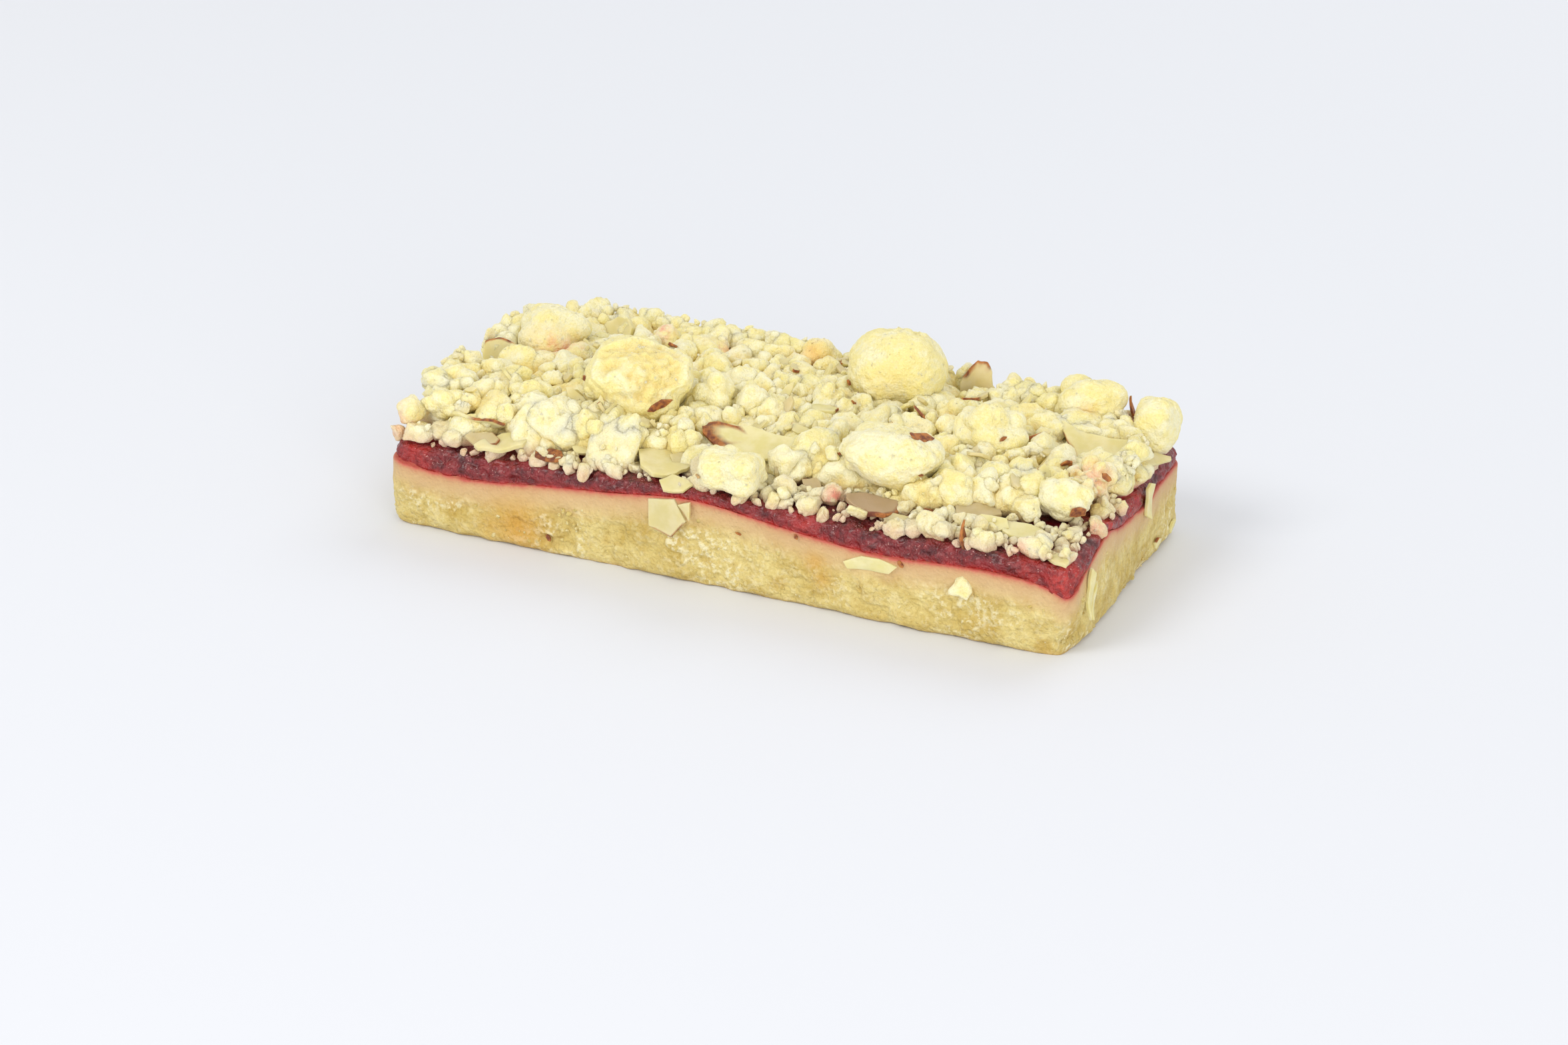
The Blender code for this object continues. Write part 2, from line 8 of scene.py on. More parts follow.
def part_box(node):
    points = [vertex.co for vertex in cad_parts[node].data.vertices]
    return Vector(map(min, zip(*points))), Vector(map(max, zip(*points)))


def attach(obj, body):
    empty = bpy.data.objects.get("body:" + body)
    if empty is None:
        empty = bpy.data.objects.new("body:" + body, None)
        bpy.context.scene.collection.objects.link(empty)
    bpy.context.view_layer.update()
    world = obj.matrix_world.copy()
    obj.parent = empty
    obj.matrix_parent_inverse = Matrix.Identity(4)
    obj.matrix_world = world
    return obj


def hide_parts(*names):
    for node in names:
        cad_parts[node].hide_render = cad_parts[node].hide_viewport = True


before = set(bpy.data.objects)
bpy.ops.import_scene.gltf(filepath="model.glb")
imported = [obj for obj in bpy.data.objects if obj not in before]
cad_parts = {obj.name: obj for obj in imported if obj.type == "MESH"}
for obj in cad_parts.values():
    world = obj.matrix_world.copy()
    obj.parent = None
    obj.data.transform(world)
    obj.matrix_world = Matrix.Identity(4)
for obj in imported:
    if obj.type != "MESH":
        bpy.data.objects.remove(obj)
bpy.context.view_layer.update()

mm = 0.001  # sizes in this script are in millimetres and become metres where a mesh is made

# The cut slab, as the frame has it
slab = dict(
    length=114.0,
    width=55.0,
    cornerRadius=3.5,
    baseHeight=12.0,  # top of the shortbread at the middle
    jamTop=15.2,
    rise=0.008,  # both levels rise this much a millimetre towards +X
)

# Where the line between shortbread and jam leaves its mean level: x, y, reach along X and Y, height
lineWaves = (
    (57.0, -27.5, 2.6, 2.6, -1.5),
    (-44, -27, 13, 16, -1.8), (-5, -27, 13, 16, 2.0), (27, -27, 12, 16, -1.1), (57, -27, 7, 5, -1.6),
    (57, -12, 10, 6, 2.2), (57, 8, 8, 6, -0.7), (-57, 5, 8, 9, 0.9), (-20, 27, 14, 12, -0.9),
    (20, 27, 12, 12, 1.0), (45, 27, 10, 10, -0.6),
)


axisPrimes = (73856093, 19349663, 83492791)
seedPrime = 2654435761
mixers = ((13, 1274126177), (16, 2246822519))  # shift, factor


# Numbers from 0 to 1 for whole lattice points: their coordinates are multiplied by large primes and mixed.
def latticeRandom(cells, seed):
    mixed = (seed + 1) * seedPrime
    for axis, prime in enumerate(axisPrimes):
        mixed = mixed ^ cells[..., axis] * prime
    for shift, factor in mixers:
        mixed = ((mixed ^ (mixed >> shift)) * factor) & 0xFFFFFFFF
    return ((mixed ^ (mixed >> 15)) & 0xFFFFFF) / 0x1000000


# Smooth noise from -1 to 1: random values at the corners of cubes as wide as the period, blended inside
# each cube by a fifth-degree curve.
def smoothNoise(points, period, seed):
    scaled = points / period
    cell = np.floor(scaled).astype(np.int64)
    part = scaled - cell
    part = part ** 3 * (part * (part * 6 - 15) + 10)
    total = 0.0
    for corner in np.ndindex(2, 2, 2):
        corner = np.array(corner)
        weight = np.prod(np.where(corner == 1, part, 1 - part), axis=-1)
        total = total + weight * latticeRandom(cell + corner, seed)
    return total * 2 - 1


# Sum of smooth noises, each layer with its height, its period and what it adds to the seed.
def layered(points, seed, layers):
    return sum(height * smoothNoise(points, period, seed + step) for height, period, step in layers)


# Distance to the nearest of one random point in each cube as wide as the period, in periods.
def grainNoise(points, period, seed):
    scaled = points / period
    cell = np.floor(scaled).astype(np.int64)
    nearest = np.full(points.shape[:-1], 9.0)
    for step in np.ndindex(3, 3, 3):
        beside = cell + np.array(step) - 1
        middle = np.stack([latticeRandom(beside, seed + axis) for axis in range(3)], axis=-1)
        nearest = np.minimum(nearest, np.sum((beside + middle - scaled) ** 2, axis=-1))
    return np.sqrt(nearest)


# Round crumbs packed side by side, as heights from 0 to 1 that meet in creases: a dome over each cell point.
def packedDomes(points, period, seed):
    return np.sqrt(np.maximum(1 - (grainNoise(points, period, seed) / 0.95) ** 2, 0))


# Rises smoothly from 0 at the low value to 1 at the high one.
def smoothStep(values, low, high):
    share = np.clip((values - low) / (high - low), 0, 1)
    return share * share * (3 - 2 * share)


# How near each point is to the nearest spot: its strength at its middle, falling as a bell curve over its
# reach.
def nearSpots(points, spots):
    near = np.zeros(points.shape[:-1])
    for x, y, z, reach, strength in spots:
        away = np.sum((points - np.array((x, y, z))) ** 2, axis=-1)
        near = np.maximum(near, strength * np.exp(-away / reach ** 2))
    return near


# Points or values of rows as one list, between those of the lower and the upper pole.
def betweenPoles(low, rows, high):
    return np.concatenate([[low], np.reshape(rows, (-1, *np.shape(low))), [high]])


# Faces of surfaces made of closed rows with one point at each end, for a number of like surfaces. Seen from
# above, rows run up and their points anticlockwise, so that the faces point outwards.
def wrappedFaces(rows, columns, copies):
    row = np.arange(rows - 1)[:, None] * columns
    here = np.arange(columns)
    beside = (here + 1) % columns
    quads = np.stack([row + here, row + beside, row + columns + beside, row + columns + here], axis=-1)
    quads = quads.reshape(-1, 4) + 1
    top = rows * columns + 1
    last = (rows - 1) * columns + 1
    lowFan = np.stack([np.zeros(columns, int), 1 + beside, 1 + here], axis=-1)
    highFan = np.stack([last + here, last + beside, np.full(columns, top)], axis=-1)
    fans = np.concatenate([lowFan, highFan])
    offset = (np.arange(copies) * (top + 1))[:, None, None]
    return (quads + offset).reshape(-1, 4), (fans + offset).reshape(-1, 3)


def addObject(name, data):
    thing = bpy.data.objects.new(name, data)
    bpy.context.scene.collection.objects.link(thing)
    return thing


# A mesh object from points in millimetres, shaped (copies, points of one copy, 3), and values for each point.
def makePiece(name, points, rows, columns, finish, values, sharpAngle=None):
    copies = len(points)
    quads, fans = wrappedFaces(rows, columns, copies)
    points = points.reshape(-1, 3)
    mesh = bpy.data.meshes.new(name)
    mesh.vertices.add(len(points))
    mesh.vertices.foreach_set("co", (points * mm).astype(np.float32).ravel())
    corners = np.concatenate([quads.ravel(), fans.ravel()])
    mesh.loops.add(len(corners))
    mesh.loops.foreach_set("vertex_index", corners.astype(np.int32))
    starts = np.concatenate([np.arange(len(quads)) * 4, len(quads) * 4 + np.arange(len(fans)) * 3])
    mesh.polygons.add(len(starts))
    mesh.polygons.foreach_set("loop_start", starts.astype(np.int32))
    mesh.update(calc_edges=True)
    mesh.shade_smooth()
    if sharpAngle:
        mesh.set_sharp_from_angle(angle=math.radians(sharpAngle))
    for label, value in values.items():
        spread = np.broadcast_to(value, (copies, len(points) // copies)).astype(np.float32)
        mesh.attributes.new(label, "FLOAT", "POINT").data.foreach_set("value", spread.ravel())
    mesh.materials.append(finish.material)
    piece = addObject(name, mesh)
    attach(piece, "root")
    print(f"{name}: {2 * len(quads) + len(fans)} triangles")
    return piece


# A socket that takes part in sums: each operator adds a Math node of its own.
class Wire:
    def __init__(self, finish, socket):
        self.finish = finish
        self.socket = socket

    def math(self, operation, first, second):
        return self.finish.node("ShaderNodeMath", {"operation": operation}, {0: first, 1: second})

    def __add__(self, other):
        return self.math("ADD", self, other)

    __radd__ = __add__

    def __sub__(self, other):
        return self.math("SUBTRACT", self, other)

    def __rsub__(self, other):
        return self.math("SUBTRACT", other, self)

    def __mul__(self, other):
        return self.math("MULTIPLY", self, other)

    __rmul__ = __mul__

    def between(self, low, high):
        sockets = {"Value": self, "From Min": low, "From Max": high}
        return self.finish.node("ShaderNodeMapRange", {"interpolation_type": "SMOOTHSTEP"}, sockets)


# A material being built on its Principled shader, whose constants come with the name. The settings of a node
# are set before its sockets, and periods and depths are in millimetres.
class Finish:
    def __init__(self, name, **constants):
        self.material = bpy.data.materials.new(name)
        self.material.use_nodes = True
        self.tree = self.material.node_tree
        self.shader = self.tree.nodes["Principled BSDF"]
        self.place = self.node("ShaderNodeTexCoord", output="Object")
        for label, value in constants.items():
            self.shader.inputs[label.replace("_", " ")].default_value = value

    def node(self, kind, settings=None, sockets=None, output=0):
        made = self.tree.nodes.new(kind)
        for label, value in (settings or {}).items():
            setattr(made, label, value)
        for label, value in (sockets or {}).items():
            if isinstance(value, Wire):
                self.tree.links.new(value.socket, made.inputs[label])
            else:
                made.inputs[label].default_value = value
        return Wire(self, made.outputs[output])

    def noise(self, period, detail):
        sockets = {"Vector": self.place, "Scale": 1 / (period * mm), "Detail": detail}
        return self.node("ShaderNodeTexNoise", None, sockets)

    def cells(self, period):
        return self.node("ShaderNodeTexVoronoi", None, {"Vector": self.place, "Scale": 1 / (period * mm)})

    def value(self, label):
        return self.node("ShaderNodeAttribute", {"attribute_name": label}, output="Fac")

    def mix(self, share, first, second):
        settings = {"data_type": "RGBA"}
        return self.node("ShaderNodeMix", settings, {0: share, 6: first, 7: second}, output=2)

    def bump(self, height, depth, strength=1.0):
        sockets = {"Height": height, "Distance": depth * mm, "Strength": strength}
        return self.node("ShaderNodeBump", None, sockets)

    def feed(self, **wires):
        for label, wire in wires.items():
            self.tree.links.new(wire.socket, self.shader.inputs[label.replace("_", " ")])


# A screen colour from 0 to 255 as the linear one that a shader takes.
def paint(red, green, blue):
    screen = np.array((red, green, blue)) / 255
    linear = np.where(screen > 0.04045, ((screen + 0.055) / 1.055) ** 2.4, screen / 12.92)
    return (*linear.tolist(), 1.0)


# Shortbread: buttery yellow mottled with cream and chalky grains, whose whiteness on raised grains and not in
# the pits is partly a painted highlight, beige towards the jam, which stains its upper edge, and baked brown
# underneath.
shortbreadColours = dict(
    butter=paint(192, 164, 80),
    cream=paint(226, 208, 138),
    oily=paint(192, 158, 70),
    beige=paint(208, 176, 132),
    chalkAndGrainHighlight=paint(240, 231, 190),
    golden=paint(208, 158, 66),
    stain=paint(190, 88, 74),
    baked=paint(200, 162, 98),
)


def makeShortbreadFinish():
    colours = shortbreadColours
    soft = dict(Subsurface_Weight=0.12, Subsurface_Scale=1.2 * mm, Subsurface_Radius=(1.0, 0.8, 0.4))
    finish = Finish("shortbreadFinish", **soft)
    depth = finish.value("depth")
    broad = finish.noise(9.0, 2.0).between(0.38, 0.62)
    middle = finish.noise(2.4, 3.0).between(0.35, 0.65)
    fine = finish.noise(0.8, 3.0).between(0.35, 0.65)
    colour = finish.mix(broad * 0.45 + middle * 0.3 + fine * 0.25, colours["butter"], colours["cream"])
    colour = finish.mix(finish.noise(5.5, 1.0).between(0.56, 0.72) * 0.6, colour, colours["oily"])
    upper = 1 - (depth + finish.noise(3.0, 1.0) * 2.0).between(2.6, 6.5)
    colour = finish.mix(upper * 0.75, colour, colours["beige"])
    # Whiter on the raised grains: partly chalky crumbs, partly a painted highlight.
    chalkAndGrainHighlight = finish.value("chalkAndGrainHighlight") * finish.noise(0.7, 4.0).between(0.42, 0.6) * 0.85
    colour = finish.mix(chalkAndGrainHighlight, colour, colours["chalkAndGrainHighlight"])
    colour = finish.mix(finish.value("golden"), colour, colours["golden"])
    colour = finish.mix(finish.value("baked"), colour, colours["baked"])
    stain = finish.value("stain") * (0.55 + finish.noise(1.3, 2.0) * 0.9)
    colour = finish.mix(stain, colour, colours["stain"])
    fineGrain = finish.noise(0.45, 4.0) * (1.1 - upper * 0.5)
    coarseGrain = (finish.noise(1.5, 6.0) * 1.3 - finish.cells(0.75) * 0.6) * (1.0 - upper * 0.7)
    roughness = 0.48 + finish.noise(2.5, 2.0) * 0.45 - upper * 0.12
    finish.feed(Base_Color=colour, Roughness=roughness, Normal=finish.bump(fineGrain + coarseGrain, 0.36))
    return finish


# Crumble dough: pale cream grains whose creases, hollows and undersides turn yellow as painted shade, while
# the torn-open inside of a lump is yellower of its own, greyer low down near the jam, partly damp and partly
# painted shade, with pink or golden patches, and with jam soaked into its foot.
doughColours = dict(
    pale=paint(247, 241, 205),
    cream=paint(247, 233, 162),
    crease=paint(240, 216, 134),
    dampAndShade=paint(212, 194, 158),
    blush=paint(240, 152, 134),
    gold=paint(248, 208, 128),
    soaked=paint(216, 134, 134),
)


def makeDoughFinish():
    colours = doughColours
    soft = dict(Subsurface_Weight=0.55, Subsurface_Scale=1.1 * mm, Subsurface_Radius=(1.0, 0.97, 0.92))
    finish = Finish("doughFinish", **soft)
    grains = finish.cells(0.5)
    blend = finish.noise(3.4, 2.0).between(0.36, 0.64) * 0.5 + finish.noise(0.9, 2.0).between(0.3, 0.7) * 0.25
    # The grains turn more cream towards their edges, which the bump sinks: painted shade between the grains.
    blend = blend + grains.between(0.3, 0.8) * 0.2 + finish.value("tone") * 0.3 - 0.05
    colour = finish.mix(blend.between(0.0, 1.0), colours["pale"], colours["cream"])
    # Painted shade: creases, hollows and undersides turn yellow; on one lump this also carries its torn-open
    # inside, yellower of its own.
    colour = finish.mix(finish.value("crease") * 0.8, colour, colours["crease"])
    # Greyer low down near the jam: partly damp, partly painted shade.
    colour = finish.mix(finish.value("dampAndShade") * (0.5 + finish.noise(1.1, 2.0) * 0.8), colour, colours["dampAndShade"])
    colour = finish.mix(finish.value("gold"), colour, colours["gold"])
    blush = finish.value("blush") * finish.noise(1.4, 2.0).between(0.3, 0.6)
    colour = finish.mix(blush, colour, colours["blush"])
    colour = finish.mix(finish.value("soak"), colour, colours["soaked"])
    height = finish.noise(0.34, 3.0) + finish.noise(0.9, 5.0) * 1.2
    height = height - grains * 0.35 - finish.cells(1.05) * 0.15
    roughness = 0.55 + finish.noise(1.5, 1.0) * 0.35
    finish.feed(Base_Color=colour, Roughness=roughness, Normal=finish.bump(height, 0.34))
    return finish


# Jam: deep red gel, brighter where it is thin, hazed by fine crumbs, with pale specks that are partly crumb
# dust and partly painted glints, wet.
jamColours = dict(
    deep=paint(70, 12, 20),
    red=paint(134, 25, 31),
    thin=paint(204, 50, 40),
    haze=paint(180, 96, 96),
    dustAndGlints=paint(226, 176, 166),
)


def makeJamFinish():
    colours = jamColours
    soft = dict(Subsurface_Weight=0.12, Subsurface_Scale=1.5 * mm, Subsurface_Radius=(1.0, 0.25, 0.2))
    finish = Finish("jamFinish", Coat_Weight=0.3, Coat_Roughness=0.12, **soft)
    body = (finish.noise(1.5, 4.0) * 0.5 + finish.noise(4.0, 2.0) * 0.5).between(0.38, 0.62)
    colour = finish.mix(body, colours["deep"], colours["red"])
    thin = finish.value("thin") * (0.4 + finish.noise(1.3, 2.0).between(0.36, 0.56) * 0.55)
    colour = finish.mix(thin, colour, colours["thin"])
    haze = finish.noise(0.9, 3.0).between(0.5, 0.72) * finish.value("haze")
    colour = finish.mix(haze * 0.35, colour, colours["haze"])
    # Pale specks: partly crumb dust, partly painted glints.
    dustAndGlints = (1 - finish.cells(0.45).between(0.12, 0.26)) * finish.noise(2.2, 2.0).between(0.48, 0.64) * 0.8
    colour = finish.mix(dustAndGlints * finish.value("haze"), colour, colours["dustAndGlints"])
    roughness = 0.24 + haze * 0.3 + dustAndGlints * 0.3 + finish.noise(2.0, 1.0) * 0.12
    grain = finish.noise(1.0, 3.0) * 0.7 + finish.noise(0.32, 2.0) - finish.cells(0.7) * 0.8
    finish.feed(Base_Color=colour, Roughness=roughness, Normal=finish.bump(grain, 0.36, 0.9))
    return finish


# Almond: ivory and slightly see-through, greyer over the jam, greyed as painted shade on a chip under a lump,
# with brown skin where the value says so.
almondColours = dict(
    ivory=paint(220, 208, 142),
    pale=paint(230, 219, 168),
    grey=paint(164, 132, 110),
    skin=paint(174, 110, 54),
    darkSkin=paint(112, 58, 38),
)


def makeAlmondFinish():
    colours = almondColours
    soft = dict(Subsurface_Weight=0.4, Subsurface_Scale=2.0 * mm, Subsurface_Radius=(1.0, 0.85, 0.5))
    finish = Finish("almondFinish", **soft)
    streaks = finish.noise(2.2, 3.0).between(0.3, 0.7)
    colour = finish.mix(streaks, colours["ivory"], colours["pale"])
    colour = finish.mix(finish.value("grey"), colour, colours["grey"])
    brown = finish.mix(finish.noise(0.8, 3.0).between(0.35, 0.65), colours["skin"], colours["darkSkin"])
    colour = finish.mix(finish.value("skin"), colour, brown)
    roughness = 0.38 + finish.noise(1.4, 2.0) * 0.2 + finish.value("skin") * 0.2
    finish.feed(Base_Color=colour, Roughness=roughness, Normal=finish.bump(finish.noise(0.7, 2.0), 0.05, 0.7))
    return finish


shortbreadFinish = makeShortbreadFinish()
doughFinish = makeDoughFinish()
jamFinish = makeJamFinish()
almondFinish = makeAlmondFinish()
print("finishes made")


# Points and outward directions round the slab, seen from above: quarter arcs joined by straight runs, walked
# by their length, anticlockwise from the front left corner.
def outlineAt(share):
    radius = slab["cornerRadius"]
    halfRun = slab["length"] / 2 - radius
    halfDepth = slab["width"] / 2 - radius
    quarter = np.radians(np.linspace(-90, 0, 16))
    corners = ((halfRun, -halfDepth), (halfRun, halfDepth), (-halfRun, halfDepth), (-halfRun, -halfDepth))
    xs, ys, outX, outY = [-halfRun], [-halfDepth - radius], [0.0], [-1.0]
    for side, (x, y) in enumerate(corners):
        angle = quarter + side * math.pi / 2
        outX.extend(np.cos(angle))
        outY.extend(np.sin(angle))
        xs.extend(x + radius * np.cos(angle))
        ys.extend(y + radius * np.sin(angle))
    walked = np.concatenate([[0], np.cumsum(np.hypot(np.diff(xs), np.diff(ys)))])
    at = share * walked[-1]
    point = np.stack([np.interp(at, walked, xs), np.interp(at, walked, ys)], axis=-1)
    outward = np.stack([np.interp(at, walked, outX), np.interp(at, walked, outY)], axis=-1)
    return point, outward / np.linalg.norm(outward, axis=-1, keepdims=True)


# Level of the line between shortbread and jam: its mean level plus a bell curve for each wave.
def lineHeight(x, y):
    level = slab["baseHeight"] + slab["rise"] * x
    for atX, atY, reachX, reachY, high in lineWaves:
        level = level + high * np.exp(-((x - atX) / reachX) ** 2 - ((y - atY) / reachY) ** 2)
    return level


# Level of the jam's upper side away from the cut, which rises evenly along X.
def jamLevel(x):
    return slab["jamTop"] + slab["rise"] * x


# Distance from a point to the nearest side of the slab.
def sideDistance(x, y):
    return np.minimum(slab["length"] / 2 - np.abs(x), slab["width"] / 2 - np.abs(y))


# The points of rows round the slab, as x and y: the outline moved in by each row's inset, then drawn to the
# middle by each row's scale.
def slabRows(insets, scales, columns):
    point, outward = outlineAt(np.arange(columns) / columns)
    flat = (point - outward * np.asarray(insets)[:, None, None]) * np.asarray(scales)[:, None, None]
    return flat, outward


shortbread = dict(
    columns=1200,
    underScales=(0.3, 0.6, 0.85, 0.95),
    footRows=9,
    footInset=1.3,
    footHeight=2.2,
    sideRows=40,
    shoulderRows=6,
    shoulder=0.4,  # height over which the top edge rounds in
    edgeInset=0.25,
    topScales=(0.96, 0.88, 0.7, 0.35),
    wornCorner=(57, -27.5, 6.5, 6.0, 2.4),  # x, y, reach, height, depth
    smoothAbove=2.0,  # this near to the line the cut face is smooth
    roughBelow=5.5,
    swells=((0.32, 9.0, 3), (0.12, 3.0, 4)),  # height, period, step of the seed
    lumpy=((0.2, 1.9, 5),),
    crumbly=((1.0, 0.9, 1), (0.5, 0.45, 2)),
    footSwells=((0.6, 3.4, 6), (0.35, 1.3, 11)),
    goldenSpots=(  # x, y, z, reach, strength
        (-34, -27.6, 3.6, 4.6, 0.85), (-38, -27.6, 3.0, 3.0, 0.5),
        (16.0, -27.6, 7.8, 1.8, 0.6), (17.3, -27.6, 5.6, 1.7, 0.55),
    ),
    seed=31,
)


# How deep the worn corner is cut in at points of the cut faces: a bell curve round the corner that runs out
# at its height.
def wornDepth(x, y, z):
    cornerX, cornerY, reach, height, depth = shortbread["wornCorner"]
    away = np.hypot(x - cornerX, y - cornerY) / reach
    return depth * np.exp(-away ** 2) * np.clip(1 - z / height, 0, 1)


# The foot rounds in as a quarter arc, the side runs straight up to a small shoulder under the jam's line, and
# a rough noise, crumbs and pits work on the cut face below its smooth upper part.
def makeShortbread():
    look = shortbread
    seed = look["seed"]
    quarter = np.linspace(0, math.pi / 2, look["footRows"])
    under = len(look["underScales"])
    over = len(look["topScales"])
    sideShare = np.linspace(0, 1, look["sideRows"] + 1)[1:]
    shoulder = np.linspace(0, math.pi / 2, look["shoulderRows"] + 1)[1:]
    insets = np.concatenate([
        np.full(under, look["footInset"]), look["footInset"] * (1 - np.sin(quarter)),
        np.zeros(look["sideRows"]), look["edgeInset"] * (1 - np.cos(shoulder)),
        np.full(over, look["edgeInset"]),
    ])
    scales = np.concatenate([look["underScales"], np.ones(len(insets) - under - over), look["topScales"]])
    flat, outward = slabRows(insets, scales, look["columns"])
    x, y = flat[..., 0], flat[..., 1]
    line = lineHeight(x, y)
    foot = look["footHeight"] * (1 - np.cos(quarter))[:, None] + 0 * x[:look["footRows"]]
    sideLine = line[under + look["footRows"] - 1]
    side = look["footHeight"] + (sideLine - look["shoulder"] - look["footHeight"]) * sideShare[:, None]
    top = sideLine - look["shoulder"] * (1 - np.sin(shoulder))[:, None]
    inner = sideLine + (slab["baseHeight"] - sideLine) * np.linspace(0.3, 1, over)[:, None]
    z = np.concatenate([0 * x[:under], foot, side, top, inner])
    points = np.stack([x, y, z], axis=-1)
    depth = sideLine - z
    shown = np.concatenate([
        np.zeros(under), np.linspace(0.15, 1, look["footRows"]), np.ones(look["sideRows"]),
        np.linspace(1, 0.3, look["shoulderRows"]), np.zeros(over),
    ])[:, None]
    rough = smoothStep(depth, look["smoothAbove"], look["roughBelow"])
    patches = smoothStep(smoothNoise(points, 6.5, seed), -0.1, 0.5)
    crumbly = layered(points, seed, look["crumbly"])
    pits = smoothStep(smoothNoise(points, 2.3, seed + 8), 0.5, 0.75)
    domes = packedDomes(points, 0.85, seed + 10) - 0.6
    relief = layered(points, seed, look["swells"])
    lumpy = layered(points, seed, look["lumpy"]) + (0.08 + 0.12 * patches) * crumbly + 0.16 * domes
    relief += rough * lumpy
    relief += -0.35 * rough * pits + 0.025 * crumbly
    relief -= wornDepth(x, y, z)
    footRough = 1 - smoothStep(z, 0.5, 3.0)
    relief += footRough * layered(points, seed, look["footSwells"])
    points[..., :2] += outward * (relief * shown)[..., None]
    lift = footRough * shown * np.clip(0.5 * smoothNoise(points, 2.6, seed + 7), -0.3, 0.5)
    points[..., 2] = np.maximum(points[..., 2] + lift, 0)
    # Whiter on raised grains and never in the pits: partly chalky crumbs, partly a painted highlight on the
    # grain tops.
    chalkAndGrainHighlight = rough * (0.3 + 0.7 * patches) * smoothStep(crumbly, -0.6, 0.5) * (1 - pits)
    stain = np.exp(-np.maximum(depth, 0) / 0.45) + 0.18 * np.exp(-np.maximum(depth, 0) / 2.0)
    golden = nearSpots(points, look["goldenSpots"])
    baked = np.where(points[..., 2] < 0.02, 1.0, 0.5 * (1 - smoothStep(points[..., 2], 0.0, 0.9)))
    points = betweenPoles((0, 0, 0), points, (0, 0, slab["baseHeight"]))
    values = dict(
        depth=betweenPoles(slab["baseHeight"], depth, 0), chalkAndGrainHighlight=betweenPoles(0, np.clip(chalkAndGrainHighlight, 0, 1), 0),
        golden=betweenPoles(0, golden, 0), stain=betweenPoles(0, np.clip(stain, 0, 1), 1),
        baked=betweenPoles(1, baked, 0),
    )
    piece = makePiece("cutShortbread", points[None], len(insets), look["columns"], shortbreadFinish, values)
    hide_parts("shortbread_base")


makeShortbread()

jam = dict(
    columns=1100,
    underScales=(0.3, 0.6, 0.85, 0.95),
    lipDrop=0.25,  # how far the lower lip reaches down past the line
    brimRows=30,
    brimInset=0.42,
    brimReach=2.2,  # from the cut face back to where the upper side is level
    rimDrop=0.5,
    follow=0.35,  # share of the line's waves that the upper side follows near the cut
    topRows=34,
    innermost=0.42,
    skinSwells=((0.26, 3.4, 0), (0.16, 1.6, 1)),  # height, period, step of the seed
    lipSwells=((0.26, 4.2, 4), (0.26, 1.5, 5)),
    thinSpots=(  # x, y, z, reach, strength
        (56, -27, 12.5, 4.0, 0.9), (56.5, -10, 15, 3.5, 0.8), (57, 2, 14, 4.0, 0.6), (50, -27, 13, 2.5, 0.6),
        (14, -27, 13.6, 2.5, 0.5), (-52, -27, 12.6, 3.0, 0.6),
    ),
    seed=47,
)


# Relief of the jam's skin: swells, lumps of fruit and fine bubbles.
def jamRelief(points):
    relief = layered(points, jam["seed"], jam["skinSwells"])
    relief += 0.3 * np.maximum(0.45 - grainNoise(points, 1.7, jam["seed"] + 2), -0.2)
    return relief + 0.24 * (0.45 - grainNoise(points, 0.85, jam["seed"] + 3))


# Level of the jam's upper side: near the cut it falls a little and follows a share of the line's waves.
def jamSurface(x, y):
    wave = lineHeight(x, y) - slab["baseHeight"] - slab["rise"] * x
    edge = np.exp(-np.maximum(sideDistance(x, y) - jam["brimReach"], 0) / 2.0)
    return jamLevel(x) + edge * (jam["follow"] * wave - jam["rimDrop"])


# Top of the jam: its level and its relief.
def jamHeight(x, y):
    level = jamSurface(x, y)
    return level + jamRelief(np.stack([x, y, level], axis=-1))


